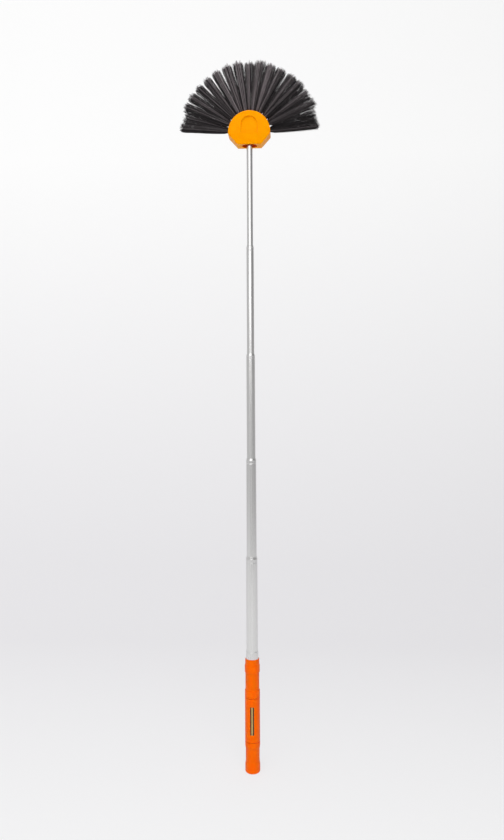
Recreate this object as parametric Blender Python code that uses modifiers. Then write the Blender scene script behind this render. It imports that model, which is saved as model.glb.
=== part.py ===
"""Telescopic cleaning brush: a fan of bristle tufts on five tubes that slide into a handle.

Metres, +Z up along the pole, the front of the head towards -Y. The origin is the centre of the
flat end of the handle. The pole is drawn out to its full length.
"""

import math

import bmesh
import bpy
from mathutils import Matrix, Vector

MM = 0.001
UP = Vector((0, 0, 1))

# Handle, from its flat end upwards
END_CAP_LENGTH = 58.5 * MM
GRIP_LENGTH = 83 * MM
COLLAR_LENGTH = 72.5 * MM
SEAM_GAP = 0.5 * MM
SEAM_CHAMFER = 0.6 * MM
SLEEVE_FIT = 0.1 * MM
GRIP_WALL = 2 * MM

# End cap
FACE_INSET = 3 * MM
CAP_FLOOR = 6 * MM
FOOT_BAND_TOP = 15.5 * MM
FOOT_FLARE = 0.05 * MM
WAIST_BOTTOM = 22 * MM
WAIST_TOP = 44.5 * MM
SHOULDER_TOP = 50.5 * MM
WAIST_WALL = 1.4 * MM
CAP_CLEARANCE = 0.2 * MM
LINER_SOCKET = 7 * MM

# Collar
COLLAR_FOOT_RISE = 0.05 * MM
COLLAR_STEP = 14 * MM
COLLAR_NECK = 33 * MM
COLLAR_NECK_WALL = 1 * MM
COLLAR_GROOVE = 0.8 * MM
COLLAR_GROOVE_DEPTH = 0.4 * MM
COLLAR_RING = 13.5 * MM
COLLAR_RING_RISE = 0.1 * MM
COLLAR_RIM_WALL = 1.05 * MM
COLLAR_TAPER_WALL = 1.4 * MM
COLLAR_EDGE = 0.8 * MM

# Label strip let into the front of the grip
LABEL_WIDTH = 7.2 * MM
LABEL_LENGTH = 52 * MM
LABEL_THICKNESS = 0.45 * MM
LABEL_DEPTH = 0.55 * MM
LABEL_GAP = 0.15 * MM

# Tubes: tube 1 slides in the handle's liner and tube 5, the thinnest, carries the head
TIP_TUBE_DIAMETER = 11.4 * MM
TUBE_STEP = 2.5 * MM
TUBE_WALL = 0.5 * MM
REACH_1 = 177.5 * MM
REACH_2 = 184.5 * MM
REACH_3 = 194.5 * MM
REACH_4 = 201.5 * MM
REACH_5 = 184 * MM
REACHES = (REACH_1, REACH_2, REACH_3, REACH_4, REACH_5)

# A tube's mouth, from its top down
MOUTH_FIT = 0.15 * MM
MOUTH_LIP = 0.8 * MM
MOUTH_CONE = 2.9 * MM
BEAD_LENGTH = 1.6 * MM
BEAD_RISE = 0.35 * MM
GROOVE_DROP = 3.8 * MM
GROOVE_LENGTH = 1.8 * MM
GROOVE_DEPTH = 0.25 * MM
LINER_CONE = 12.7 * MM

# A tube's foot and the friction bush on it
BUSH_LENGTH = 14 * MM
BUSH_FIT = 0.1 * MM
BUSH_SLIT = 1.6 * MM
BUSH_CHAMFER = 0.2 * MM
SEAT_DEPTH = 0.15 * MM
SEAT_PLAY = 0.3 * MM
FOOT_LENGTH = 1.5 * MM
STOP_GAP = 0.3 * MM

# Head block, measured from the centre of its round face
HEAD_RADIUS = 39 * MM
HEAD_THICKNESS = 26 * MM
HEAD_DROP = 22 * MM
CHAMFER_TOP = 3.5 * MM
BOTTOM_WIDTH = 44 * MM
HEAD_EDGE = 1.2 * MM
LOWER_SET_BACK = 2.8 * MM
ARCH_RADIUS = 15 * MM
ARCH_TOP_MARGIN = 10.2 * MM
ARCH_SILL = 1.5 * MM
ARCH_DEPTH = 2.2 * MM
ARCH_EDGE = 0.6 * MM

# Oval socket under the head, its adapter and the screw from the back
MOUTH_WIDTH = 28 * MM
MOUTH_WALL = 1.4 * MM
SOCKET_DEPTH = 44 * MM
SOCKET_DRAFT = 1 * MM
ADAPTER_RECESS = 12 * MM
ADAPTER_FIT = 0.2 * MM
ADAPTER_ROOF = 4 * MM
TUBE_FIT = 0.15 * MM
SCREW_HEIGHT = 5 * MM
SCREW_RADIUS = 1.45 * MM
SCREW_HEAD_RADIUS = 3.1 * MM
SCREW_HEAD_HEIGHT = 1.9 * MM
SCREW_HEAD_DOME = 0.7 * MM
SCREW_SUNK = 2.2 * MM
SCREW_TIP = 2 * MM
SCREW_REACH = 2.5 * MM
SCREW_FIT = 0.3 * MM
RECESS_WIDTH = 0.9 * MM
RECESS_SPAN = 3.4 * MM
RECESS_DEPTH = 1 * MM

# Bristle tufts in two staggered rows
TUFTS = 19
FIRST_TUFT = math.radians(5.5)
FRONT_REACH = 131 * MM
REAR_REACH = 127 * MM
ROW_SPACING = 9 * MM
HOLE_RADIUS = 2.6 * MM
HOLE_DEPTH = 8 * MM
PLUG_FIT = 0.25 * MM
STRANDS = 18
STRAND_ROOT = 0.3 * MM
STRAND_TIP = 0.8 * MM
STRAND_SINK = 0.5 * MM
TUFT_TIP_WIDTH = 19 * MM
TUFT_TIP_DEPTH = 8.6 * MM
RAGGED_LENGTH = 7 * MM
RAGGED_STRIDE = 7
ROOT_MARGIN_SHARE = 1.2
MIDDLE_SHARE = 0.5

# Facets
TUBE_SIDES = 24
HANDLE_SIDES = 40
HOLE_SIDES = 12
OVAL_SIDES = 32
HEAD_ARC_STEPS = 42
HEAD_SIDE_STEPS = 1
ARCH_STEPS = 14
LABEL_STEPS = 6
FOOT_STEPS = 5
EDGE_STEPS = 2
STRAND_SIDES = 3
OVERRUN = 3 * MM

GOLDEN_TURN = math.pi * (3 - math.sqrt(5))
SMOOTH_ANGLE = math.radians(35)
BEVEL_ANGLE = math.radians(25)
FLAT_ANGLE = math.radians(1)
MERGE = 0.01 * MM

ORANGE = (0.94, 0.13, 0.005)
AMBER = (1.0, 0.36, 0.0)
ALUMINIUM = (0.72, 0.73, 0.74)
BRISTLE = (0.035, 0.035, 0.037)
BUSH_WHITE = (0.78, 0.77, 0.72)
LABEL_BROWN = (0.11, 0.09, 0.03)
STEEL = (0.55, 0.55, 0.56)

PLASTIC_ROUGHNESS = 0.35
METAL_ROUGHNESS = 0.3
BRISTLE_ROUGHNESS = 0.5
BUSH_ROUGHNESS = 0.45
LABEL_ROUGHNESS = 0.4
BARE_METAL = 1.0


def tube_radius(stage):
    """Outer radius of a tube; stage 0 is the liner in the handle and stage 5 the thinnest."""
    return TIP_TUBE_DIAMETER / 2 + (len(REACHES) - stage) * TUBE_STEP / 2


def mouth_length(stage):
    """Height from a tube's top down to the lower end of its bead."""
    if stage == 0:
        return MOUTH_LIP + LINER_CONE
    return MOUTH_LIP + MOUTH_CONE + BEAD_LENGTH


def stop_depth(stage):
    """How far the underside of the stop groove lies below a tube's top."""
    return mouth_length(stage) + GROOVE_DROP + GROOVE_LENGTH


def bush_top(stage):
    """Height of a bush's top over the top of the tube that it slides in, fully drawn out."""
    return -stop_depth(stage - 1) - STOP_GAP


LINER_RADIUS = tube_radius(0)
SLEEVE_BORE = LINER_RADIUS + SLEEVE_FIT
GRIP_RADIUS = SLEEVE_BORE + GRIP_WALL
HANDLE_LENGTH = END_CAP_LENGTH + GRIP_LENGTH + COLLAR_LENGTH
LINER_TOP = HANDLE_LENGTH + mouth_length(0)


def new_collection(name):
    collection = bpy.data.collections.new(name)
    bpy.context.scene.collection.children.link(collection)
    return collection


def material(name, color, roughness, metallic=0.0):
    """A plain Principled material."""
    made = bpy.data.materials.new(name)
    made.use_nodes = True
    shader = made.node_tree.nodes["Principled BSDF"]
    shader.inputs["Base Color"].default_value = (*color, 1.0)
    shader.inputs["Roughness"].default_value = roughness
    shader.inputs["Metallic"].default_value = metallic
    return made


def add_object(name, data, finish, parent):
    """Link a new named piece to the part's collection."""
    piece = bpy.data.objects.new(name, data)
    piece.parent = parent
    PIECES.objects.link(piece)
    if not data.materials:
        data.materials.append(finish)
    return piece


def add_empty(name, location, parent=None):
    """An empty on the pole's axis that carries the pieces of one moving stage."""
    empty = bpy.data.objects.new(name, None)
    empty.empty_display_size = TIP_TUBE_DIAMETER
    empty.location = location
    empty.parent = parent
    PIECES.objects.link(empty)
    return empty


def add_cutter(name, data, parent):
    """Link a wire-only cutter to the cutters' collection."""
    cutter = bpy.data.objects.new(name, data)
    cutter.parent = parent
    cutter.hide_render = True
    cutter.display_type = "WIRE"
    CUTTERS.objects.link(cutter)
    return cutter


def cut(piece, cutter):
    """Take one cutter's shape out of a piece."""
    boolean = piece.modifiers.new(cutter.name, "BOOLEAN")
    boolean.operation = "DIFFERENCE"
    boolean.solver = "EXACT"
    boolean.object = cutter


def turned_mesh(name, profile, sides, closed=True):
    """Turn a profile of (radius, height) points about Z.

    The points run down the outer side, across and up the inner side.
    """
    points = [(radius, 0, height) for radius, height in profile]
    edges = [(i, i + 1) for i in range(len(points) - 1)]
    if closed:
        edges.append((len(points) - 1, 0))
    outline = bpy.data.meshes.new(name + "_profile")
    outline.from_pydata(points, edges, [])
    spun = bpy.data.objects.new(name + "_profile", outline)
    CUTTERS.objects.link(spun)
    screw = spun.modifiers.new("turn", "SCREW")
    screw.steps = screw.render_steps = sides
    screw.use_merge_vertices = True
    screw.merge_threshold = MERGE
    return taken_mesh(spun, name)


def taken_mesh(source, name):
    """The evaluated mesh of a construction object, which is then removed."""
    bpy.context.view_layer.update()
    evaluated = source.evaluated_get(bpy.context.evaluated_depsgraph_get())
    mesh = bpy.data.meshes.new_from_object(evaluated)
    mesh.name = name
    data = source.data
    bpy.data.objects.remove(source)
    if isinstance(data, bpy.types.Curve):
        bpy.data.curves.remove(data)
    else:
        bpy.data.meshes.remove(data)
    shape = bmesh.new()
    shape.from_mesh(mesh)
    bmesh.ops.remove_doubles(shape, verts=shape.verts, dist=MERGE)
    shape.to_mesh(mesh)
    shape.free()
    return smooth(mesh)


def smooth(mesh):
    """Shade round faces smooth and leave the real edges sharp."""
    mesh.shade_smooth()
    mesh.set_sharp_from_angle(angle=SMOOTH_ANGLE)
    return mesh


def prism_mesh(name, outline, half_thickness, turn=None):
    """Extrude a flat closed outline both ways along Z, with one face on each end, and turn it."""
    curve = bpy.data.curves.new(name, "CURVE")
    curve.dimensions = "2D"
    curve.fill_mode = "BOTH"
    curve.extrude = half_thickness
    spline = curve.splines.new("POLY")
    spline.points.add(len(outline) - 1)
    for point, (x, y) in zip(spline.points, outline):
        point.co = (x, y, 0, 1)
    spline.use_cyclic_u = True
    flat = bpy.data.objects.new(name, curve)
    CUTTERS.objects.link(flat)
    mesh = taken_mesh(flat, name)
    shape = bmesh.new()
    shape.from_mesh(mesh)
    bmesh.ops.dissolve_limit(shape, angle_limit=FLAT_ANGLE, verts=shape.verts, edges=shape.edges)
    shape.to_mesh(mesh)
    shape.free()
    if turn is not None:
        mesh.transform(turn)
    return mesh


def arc(radius, start, end, steps, centre=(0, 0)):
    """Points along an arc from one angle to another, both ends included."""
    step = (end - start) / steps
    angles = [start + step * i for i in range(steps + 1)]
    return [(centre[0] + radius * math.cos(a), centre[1] + radius * math.sin(a)) for a in angles]


def box_mesh(name, low, high):
    """A box between two corners."""
    shape = bmesh.new()
    bmesh.ops.create_cube(shape, size=1)
    low, high = Vector(low), Vector(high)
    place = Matrix.Translation((low + high) / 2) @ Matrix.Diagonal((*(high - low), 1))
    bmesh.ops.transform(shape, matrix=place, verts=shape.verts)
    mesh = bpy.data.meshes.new(name)
    shape.to_mesh(mesh)
    shape.free()
    return mesh


def rod_mesh(name, radius, bottom, top, sides, top_radius=None, squash=1.0):
    """A rod or cone from one height to another, flattened along Y by squash."""
    shape = bmesh.new()
    end_radius = radius if top_radius is None else top_radius
    bmesh.ops.create_cone(
        shape, cap_ends=True, segments=sides, radius1=radius, radius2=end_radius, depth=top - bottom
    )
    place = Matrix.Translation(UP * (top + bottom) / 2) @ Matrix.Diagonal((1, squash, 1, 1))
    bmesh.ops.transform(shape, matrix=place, verts=shape.verts)
    mesh = bpy.data.meshes.new(name)
    shape.to_mesh(mesh)
    shape.free()
    return smooth(mesh)


def make_end_cap():
    """Closed cup that ends the handle, with a foot band, a waist and a socket for the liner."""
    bore = LINER_RADIUS - TUBE_WALL + CAP_CLEARANCE
    waist = bore + WAIST_WALL
    band = GRIP_RADIUS + FOOT_FLARE
    face = band - FACE_INSET
    top = END_CAP_LENGTH - SEAM_GAP / 2
    corner = arc(FACE_INSET, 0, -math.pi / 2, FOOT_STEPS, (face, FACE_INSET))
    profile = [
        (SLEEVE_BORE, top),
        (GRIP_RADIUS - SEAM_CHAMFER, top),
        (GRIP_RADIUS, top - SEAM_CHAMFER),
        (GRIP_RADIUS, SHOULDER_TOP),
        (waist, WAIST_TOP),
        (waist, WAIST_BOTTOM),
        (band, FOOT_BAND_TOP),
        *corner,
        (0, 0),
        (0, CAP_FLOOR),
        (bore, CAP_FLOOR),
        (bore, top - LINER_SOCKET),
        (SLEEVE_BORE, top - LINER_SOCKET),
    ]
    mesh = turned_mesh("end_cap", profile, HANDLE_SIDES)
    add_object("end_cap", mesh, ORANGE_PLASTIC, HANDLE)


def label_outline(width, inner, outer):
    """Plan of a strip that follows the grip's front, as a slice of a ring."""
    half = width / 2 / GRIP_RADIUS
    front = -math.pi / 2
    out = arc(outer, front - half, front + half, LABEL_STEPS)
    back = arc(inner, front + half, front - half, LABEL_STEPS)
    return out + back


def make_grip():
    """Plain sleeve with a shallow recess for the label strip."""
    bottom = END_CAP_LENGTH + SEAM_GAP / 2
    top = END_CAP_LENGTH + GRIP_LENGTH - SEAM_GAP / 2
    profile = [
        (SLEEVE_BORE, top),
        (GRIP_RADIUS - SEAM_CHAMFER, top),
        (GRIP_RADIUS, top - SEAM_CHAMFER),
        (GRIP_RADIUS, bottom + SEAM_CHAMFER),
        (GRIP_RADIUS - SEAM_CHAMFER, bottom),
        (SLEEVE_BORE, bottom),
    ]
    mesh = turned_mesh("grip_sleeve", profile, HANDLE_SIDES)
    grip = add_object("grip_sleeve", mesh, ORANGE_PLASTIC, HANDLE)
    middle = UP * (bottom + top) / 2
    floor = GRIP_RADIUS - LABEL_DEPTH
    recess_plan = label_outline(LABEL_WIDTH + 2 * LABEL_GAP, floor, GRIP_RADIUS + OVERRUN)
    recess = prism_mesh("label_recess", recess_plan, LABEL_LENGTH / 2 + LABEL_GAP)
    cutter = add_cutter("label_recess", recess, HANDLE)
    cutter.location = middle
    cut(grip, cutter)
    seat = floor + LABEL_GAP
    strip_plan = label_outline(LABEL_WIDTH, seat, seat + LABEL_THICKNESS)
    strip = prism_mesh("label_strip", strip_plan, LABEL_LENGTH / 2)
    add_object("label_strip", strip, LABEL_FINISH, HANDLE).location = middle


def make_collar():
    """Upper sleeve: a stepped foot, a neck with a groove, a raised ring and a tapered rim."""
    bottom = END_CAP_LENGTH + GRIP_LENGTH + SEAM_GAP / 2
    foot = GRIP_RADIUS + COLLAR_FOOT_RISE
    neck = SLEEVE_BORE + COLLAR_NECK_WALL
    groove = neck - COLLAR_GROOVE_DEPTH
    rim = SLEEVE_BORE + COLLAR_RIM_WALL
    ring = GRIP_RADIUS + COLLAR_RING_RISE
    neck_bottom = END_CAP_LENGTH + GRIP_LENGTH + COLLAR_STEP
    neck_top = neck_bottom + COLLAR_NECK
    ring_top = neck_top + COLLAR_RING
    profile = [
        (SLEEVE_BORE, HANDLE_LENGTH),
        (rim - COLLAR_EDGE / 2, HANDLE_LENGTH),
        (rim, HANDLE_LENGTH - COLLAR_EDGE),
        (SLEEVE_BORE + COLLAR_TAPER_WALL, ring_top),
        (ring - COLLAR_EDGE / 2, ring_top),
        (ring, ring_top - COLLAR_EDGE),
        (ring, neck_top + COLLAR_EDGE),
        (ring - COLLAR_EDGE / 2, neck_top),
        (groove, neck_top),
        (groove, neck_top - COLLAR_GROOVE),
        (neck, neck_top - COLLAR_GROOVE),
        (neck, neck_bottom + COLLAR_EDGE),
        (foot, neck_bottom - COLLAR_EDGE),
        (foot, bottom + SEAM_CHAMFER),
        (foot - SEAM_CHAMFER, bottom),
        (SLEEVE_BORE, bottom),
    ]
    mesh = turned_mesh("collar", profile, HANDLE_SIDES)
    add_object("collar", mesh, ORANGE_PLASTIC, HANDLE)


def mouth_profiles(stage):
    """Outer side of a tube's mouth, top down, and its inner side, bottom up, from its top at 0."""
    outer = tube_radius(stage)
    inner = outer - TUBE_WALL
    neck_bore = tube_radius(stage + 1) + MOUTH_FIT
    neck = neck_bore + TUBE_WALL
    bead_bottom = -mouth_length(stage)
    groove_top = bead_bottom - GROOVE_DROP
    groove_middle = groove_top - GROOVE_LENGTH / 2
    groove_bottom = groove_top - GROOVE_LENGTH
    bead = []
    cone_bottom = bead_bottom
    if stage > 0:
        cone_bottom = bead_bottom + BEAD_LENGTH
        bead = [(outer + BEAD_RISE, (cone_bottom + bead_bottom) / 2), (outer, bead_bottom)]
    down = [
        (neck, 0),
        (neck, -MOUTH_LIP),
        (outer, cone_bottom),
        *bead,
        (outer, groove_top),
        (outer - GROOVE_DEPTH, groove_middle),
        (outer, groove_bottom),
    ]
    up = [
        (inner, groove_bottom),
        (inner - GROOVE_DEPTH, groove_middle),
        (inner, groove_top),
        (inner, cone_bottom),
        (neck_bore, -MOUTH_LIP),
        (neck_bore, 0),
    ]
    return down, up


def foot_profiles(stage, bush_bottom):
    """Outer side of a tube's foot, with the seat that its bush snaps into, and its inner side."""
    outer = tube_radius(stage)
    seat_top = bush_bottom + BUSH_LENGTH + SEAT_PLAY
    seat_bottom = bush_bottom - SEAT_PLAY
    end = seat_bottom - FOOT_LENGTH
    down = [
        (outer, seat_top),
        (outer - SEAT_DEPTH, seat_top),
        (outer - SEAT_DEPTH, seat_bottom),
        (outer, seat_bottom),
        (outer, end),
    ]
    return down, [(outer - TUBE_WALL, end)]


def make_liner():
    """Widest tube, pressed into the handle, whose cone-shaped neck shows above the rim."""
    down, up = mouth_profiles(0)
    end = END_CAP_LENGTH - SEAM_GAP / 2 - LINER_SOCKET + SLEEVE_FIT - LINER_TOP
    profile = [*down, (LINER_RADIUS, end), (LINER_RADIUS - TUBE_WALL, end), *up]
    mesh = turned_mesh("liner_tube", profile, TUBE_SIDES)
    liner = add_object("liner_tube", mesh, TUBE_METAL, HANDLE)
    liner.location = UP * LINER_TOP


def make_bush(stage, bush_bottom, carrier):
    """Split friction bush that sits in its tube's seat and rubs on the tube outside it."""
    bore = tube_radius(stage) - SEAT_DEPTH + BUSH_FIT
    skin = tube_radius(stage - 1) - TUBE_WALL - BUSH_FIT
    top = bush_bottom + BUSH_LENGTH
    profile = [
        (bore, top),
        (skin - BUSH_CHAMFER, top),
        (skin, top - BUSH_CHAMFER),
        (skin, bush_bottom + BUSH_CHAMFER),
        (skin - BUSH_CHAMFER, bush_bottom),
        (bore, bush_bottom),
    ]
    name = f"bush_{stage}"
    bush = add_object(name, turned_mesh(name, profile, TUBE_SIDES), BUSH_PLASTIC, carrier)
    half = BUSH_SLIT / 2
    low = (0, -half, bush_bottom - OVERRUN)
    high = (skin + OVERRUN, half, top + OVERRUN)
    slit = f"bush_slit_{stage}"
    cut(bush, add_cutter(slit, box_mesh(slit, low, high), carrier))


def make_stage(stage, carrier):
    """One sliding tube with its bush, on an empty at the top of the tube that it slides in."""
    reach = REACHES[stage - 1]
    bush_bottom = bush_top(stage) - BUSH_LENGTH
    foot_down, foot_up = foot_profiles(stage, bush_bottom)
    if stage < len(REACHES):
        down, up = mouth_profiles(stage)
        down = [(radius, height + reach) for radius, height in down]
        up = [(radius, height + reach) for radius, height in up]
    else:
        radius = tube_radius(stage)
        top = reach + SOCKET_DEPTH - ADAPTER_FIT - ADAPTER_ROOF - ADAPTER_FIT
        down, up = [(radius, top)], [(radius - TUBE_WALL, top)]
    name = f"tube_{stage}"
    profile = down + foot_down + foot_up + up
    tube = add_object(name, turned_mesh(name, profile, TUBE_SIDES), TUBE_METAL, carrier)
    make_bush(stage, bush_bottom, carrier)
    return tube


def head_outline():
    """Front outline of the head: a circle with two lower chamfers and a flat bottom."""
    side = math.asin(CHAMFER_TOP / HEAD_RADIUS)
    bottom_x = BOTTOM_WIDTH / 2
    top = arc(HEAD_RADIUS, 0, math.pi, HEAD_ARC_STEPS)
    left = arc(HEAD_RADIUS, math.pi, math.pi + side, HEAD_SIDE_STEPS)[1:]
    right = arc(HEAD_RADIUS, -side, 0, HEAD_SIDE_STEPS)[:-1]
    return [*top, *left, (-bottom_x, -HEAD_DROP), (bottom_x, -HEAD_DROP), *right]


def socket_oval(name, bottom, top, play=0.0):
    """Oval tapered plug on the head's axis, between two heights over the head's bottom."""
    depth = HEAD_THICKNESS / 2 - LOWER_SET_BACK - MOUTH_WALL
    half_width = MOUTH_WIDTH / 2 - play
    draft = SOCKET_DRAFT / SOCKET_DEPTH
    low, high = half_width - draft * bottom, half_width - draft * top
    squash = (depth - play) / half_width
    return rod_mesh(name, low, bottom - HEAD_DROP, top - HEAD_DROP, OVAL_SIDES, high, squash)


def screw_axis():
    """Point on the back face that the screw goes in at, and the turn that lays Z towards +Y."""
    back = Matrix.Translation((0, HEAD_THICKNESS / 2, SCREW_HEIGHT))
    return back @ Matrix.Rotation(-math.pi / 2, 4, "X")


def set_back_lower_face(mesh):
    """Split the block where its chamfers start and lean the front face back below that line."""
    shape = bmesh.new()
    shape.from_mesh(mesh)
    everything = [*shape.verts, *shape.edges, *shape.faces]
    line = -UP * CHAMFER_TOP
    bmesh.ops.bisect_plane(shape, geom=everything, dist=MERGE, plane_co=line, plane_no=UP)
    for corner in shape.verts:
        below = -CHAMFER_TOP - corner.co.z
        if corner.co.y < 0 < below:
            corner.co.y += LOWER_SET_BACK * below / (HEAD_DROP - CHAMFER_TOP)
    shape.to_mesh(mesh)
    shape.free()


def make_head(head):
    """Thick round block with an arched pocket, a sloping lower face, a socket and tuft holes."""
    stand = Matrix.Rotation(math.pi / 2, 4, "X")
    body = prism_mesh("head_block", head_outline(), HEAD_THICKNESS / 2, stand)
    set_back_lower_face(body)
    block = add_object("head_block", body, HEAD_PLASTIC, head)
    front = -HEAD_THICKNESS / 2
    bevel = block.modifiers.new("edges", "BEVEL")
    bevel.width = HEAD_EDGE
    bevel.segments = EDGE_STEPS
    bevel.limit_method = "ANGLE"
    bevel.angle_limit = BEVEL_ANGLE

    arch_centre = HEAD_RADIUS - ARCH_TOP_MARGIN - ARCH_RADIUS
    top = arc(ARCH_RADIUS, 0, math.pi, ARCH_STEPS, (0, arch_centre))
    sill = ARCH_SILL - CHAMFER_TOP
    arch_plan = [*top, (-ARCH_RADIUS, sill), (ARCH_RADIUS, sill)]
    arch_half = ARCH_DEPTH + OVERRUN
    arch = add_cutter("arch_pocket", prism_mesh("arch_pocket", arch_plan, arch_half, stand), head)
    arch.location = (0, front + ARCH_DEPTH - arch_half, 0)
    rounding = arch.modifiers.new("edges", "BEVEL")
    rounding.width = ARCH_EDGE
    rounding.segments = EDGE_STEPS
    rounding.limit_method = "ANGLE"
    rounding.angle_limit = BEVEL_ANGLE
    cut(block, arch)

    socket = socket_oval("socket", -OVERRUN, SOCKET_DEPTH)
    cut(block, add_cutter("socket", socket, head))
    cut(block, add_cutter("tuft_holes", tuft_holes(), head))
    cut(block, screw_cutter("block_screw_hole", head, SCREW_HEAD_RADIUS + SCREW_FIT))


def screw_cutter(name, head, mouth_radius):
    """Clearance hole for the screw, with a sunk seat for its head."""
    sunk = -SCREW_SUNK
    end = sunk - screw_length() - OVERRUN
    shank = SCREW_RADIUS + SCREW_FIT
    profile = [
        (0, OVERRUN),
        (mouth_radius, OVERRUN),
        (mouth_radius, sunk),
        (shank, sunk),
        (shank, end),
        (0, end),
    ]
    cutter = add_cutter(name, turned_mesh(name, profile, HOLE_SIDES, closed=False), head)
    cutter.matrix_local = screw_axis()
    return cutter


def screw_length():
    """From the underside of the screw's head to its tip, just inside the thinnest tube."""
    tube_wall = TIP_TUBE_DIAMETER / 2 - TUBE_WALL
    return HEAD_THICKNESS / 2 - SCREW_SUNK - tube_wall + SCREW_REACH


def make_screw(head):
    """Small pan head screw with a cross recess, sunk in the back of the head."""
    seat = -SCREW_SUNK + SCREW_FIT / 2
    top = seat + SCREW_HEAD_HEIGHT
    tip = -SCREW_SUNK - screw_length()
    profile = [
        (0, top),
        (SCREW_HEAD_RADIUS - SCREW_HEAD_DOME, top),
        (SCREW_HEAD_RADIUS, top - SCREW_HEAD_DOME),
        (SCREW_HEAD_RADIUS, seat),
        (SCREW_RADIUS, seat),
        (SCREW_RADIUS, tip + SCREW_TIP),
        (0, tip),
    ]
    mesh = turned_mesh("head_screw", profile, HOLE_SIDES, closed=False)
    screw = add_object("head_screw", mesh, SCREW_STEEL, head)
    screw.matrix_local = screw_axis()
    for name, turn in (("recess_across", 0), ("recess_along", math.pi / 2)):
        half, span = RECESS_WIDTH / 2, RECESS_SPAN / 2
        bar = box_mesh(name, (-span, -half, top - RECESS_DEPTH), (span, half, top + OVERRUN))
        cutter = add_cutter(name, bar, head)
        cutter.matrix_local = screw_axis() @ Matrix.Rotation(turn, 4, "Z")
        cut(screw, cutter)


def make_adapter(head, tube):
    """Oval plug that fills the socket and holds the end of the thinnest tube."""
    body = socket_oval("socket_adapter", ADAPTER_RECESS, SOCKET_DEPTH - ADAPTER_FIT, ADAPTER_FIT)
    adapter = add_object("socket_adapter", body, HEAD_PLASTIC, head)
    bore_top = SOCKET_DEPTH - ADAPTER_FIT - ADAPTER_ROOF - HEAD_DROP
    bore_radius = tube_radius(len(REACHES)) + TUBE_FIT
    bore = rod_mesh("adapter_bore", bore_radius, -HEAD_DROP - OVERRUN, bore_top, TUBE_SIDES)
    cut(adapter, add_cutter("adapter_bore", bore, head))
    cut(adapter, screw_cutter("adapter_screw_hole", head, SCREW_RADIUS + SCREW_FIT))
    cut(tube, screw_cutter("tube_screw_hole", head, SCREW_RADIUS + SCREW_FIT))


def tuft_angles():
    """Angles of the tufts about the head's centre, from the right-hand side to the left."""
    step = (math.pi - 2 * FIRST_TUFT) / (TUFTS - 1)
    return [FIRST_TUFT + step * i for i in range(TUFTS)]


def tuft_place(index, angle):
    """Where a tuft stands: out along its angle, in the front row or the rear one."""
    row = -ROW_SPACING / 2 if index % 2 == 0 else ROW_SPACING / 2
    return Matrix.Translation((0, row, 0)) @ Matrix.Rotation(math.pi / 2 - angle, 4, "Y")


def tuft_holes():
    """All the holes drilled into the rim, as one cutter."""
    shape = bmesh.new()
    bottom, top = HEAD_RADIUS - HOLE_DEPTH, HEAD_RADIUS + OVERRUN
    for index, angle in enumerate(tuft_angles()):
        hole = rod_mesh("hole", HOLE_RADIUS, bottom, top, HOLE_SIDES)
        hole.transform(tuft_place(index, angle))
        shape.from_mesh(hole)
        bpy.data.meshes.remove(hole)
    mesh = bpy.data.meshes.new("tuft_holes")
    shape.to_mesh(mesh)
    shape.free()
    return mesh


def strand(shape, root, tip, turn):
    """Add one bristle that widens from its root to its cut end."""
    ends = []
    for centre, size in ((root, STRAND_ROOT), (tip, STRAND_TIP)):
        corners = [turn + math.tau * i / STRAND_SIDES for i in range(STRAND_SIDES)]
        spots = [centre + Vector((size * math.cos(a), size * math.sin(a), 0)) for a in corners]
        ends.append([shape.verts.new(spot) for spot in spots])
    low, high = ends
    shape.faces.new(reversed(low))
    shape.faces.new(high)
    for i in range(STRAND_SIDES):
        j = (i + 1) % STRAND_SIDES
        shape.faces.new((low[i], low[j], high[j], high[i]))


def tuft_mesh(name, reach):
    """One tuft: bristles that fan out of a round plug, along Z from the head's centre."""
    plug_radius = HOLE_RADIUS - PLUG_FIT
    plug_top = HEAD_RADIUS - PLUG_FIT
    plug_bottom = HEAD_RADIUS - HOLE_DEPTH + PLUG_FIT
    plug = rod_mesh(name + "_plug", plug_radius, plug_bottom, plug_top, HOLE_SIDES)
    plug_inside = plug_radius * math.cos(math.pi / HOLE_SIDES)
    root_spread = plug_inside - ROOT_MARGIN_SHARE * STRAND_ROOT
    shape = bmesh.new()
    for i in range(STRANDS):
        out = math.sqrt((i + MIDDLE_SHARE) / STRANDS)
        turn = GOLDEN_TURN * i
        across, deep = out * math.cos(turn), out * math.sin(turn)
        root = Vector((across * root_spread, deep * root_spread, plug_top - STRAND_SINK))
        x, y = across * TUFT_TIP_WIDTH / 2, deep * TUFT_TIP_DEPTH / 2
        ragged = RAGGED_LENGTH * (i * RAGGED_STRIDE % STRANDS) / STRANDS
        tip = Vector((x, y, math.sqrt(reach * reach - x * x) - ragged))
        strand(shape, root, tip, turn)
    strands = bpy.data.meshes.new(name + "_strands")
    shape.to_mesh(strands)
    shape.free()
    joined = bpy.data.objects.new(name, plug)
    CUTTERS.objects.link(joined)
    fan = bpy.data.objects.new(name + "_strands", strands)
    CUTTERS.objects.link(fan)
    union = joined.modifiers.new("strands", "BOOLEAN")
    union.operation = "UNION"
    union.solver = "EXACT"
    union.object = fan
    mesh = taken_mesh(joined, name)
    bpy.data.objects.remove(fan)
    bpy.data.meshes.remove(strands)
    return mesh


def make_tufts(head):
    """Nineteen tufts round the rim, long ones in the front row and shorter ones behind."""
    long_tuft = tuft_mesh("long_tuft", FRONT_REACH)
    short_tuft = tuft_mesh("short_tuft", REAR_REACH)
    for index, angle in enumerate(tuft_angles()):
        mesh = long_tuft if index % 2 == 0 else short_tuft
        tuft = add_object(f"bristle_tuft_{index + 1:02d}", mesh, BRISTLE_FIBRE, head)
        tuft.matrix_local = tuft_place(index, angle)


for old in list(bpy.data.objects):
    bpy.data.objects.remove(old)

PIECES = new_collection("telescopic_cleaning_brush")
CUTTERS = new_collection("cutters")

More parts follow.
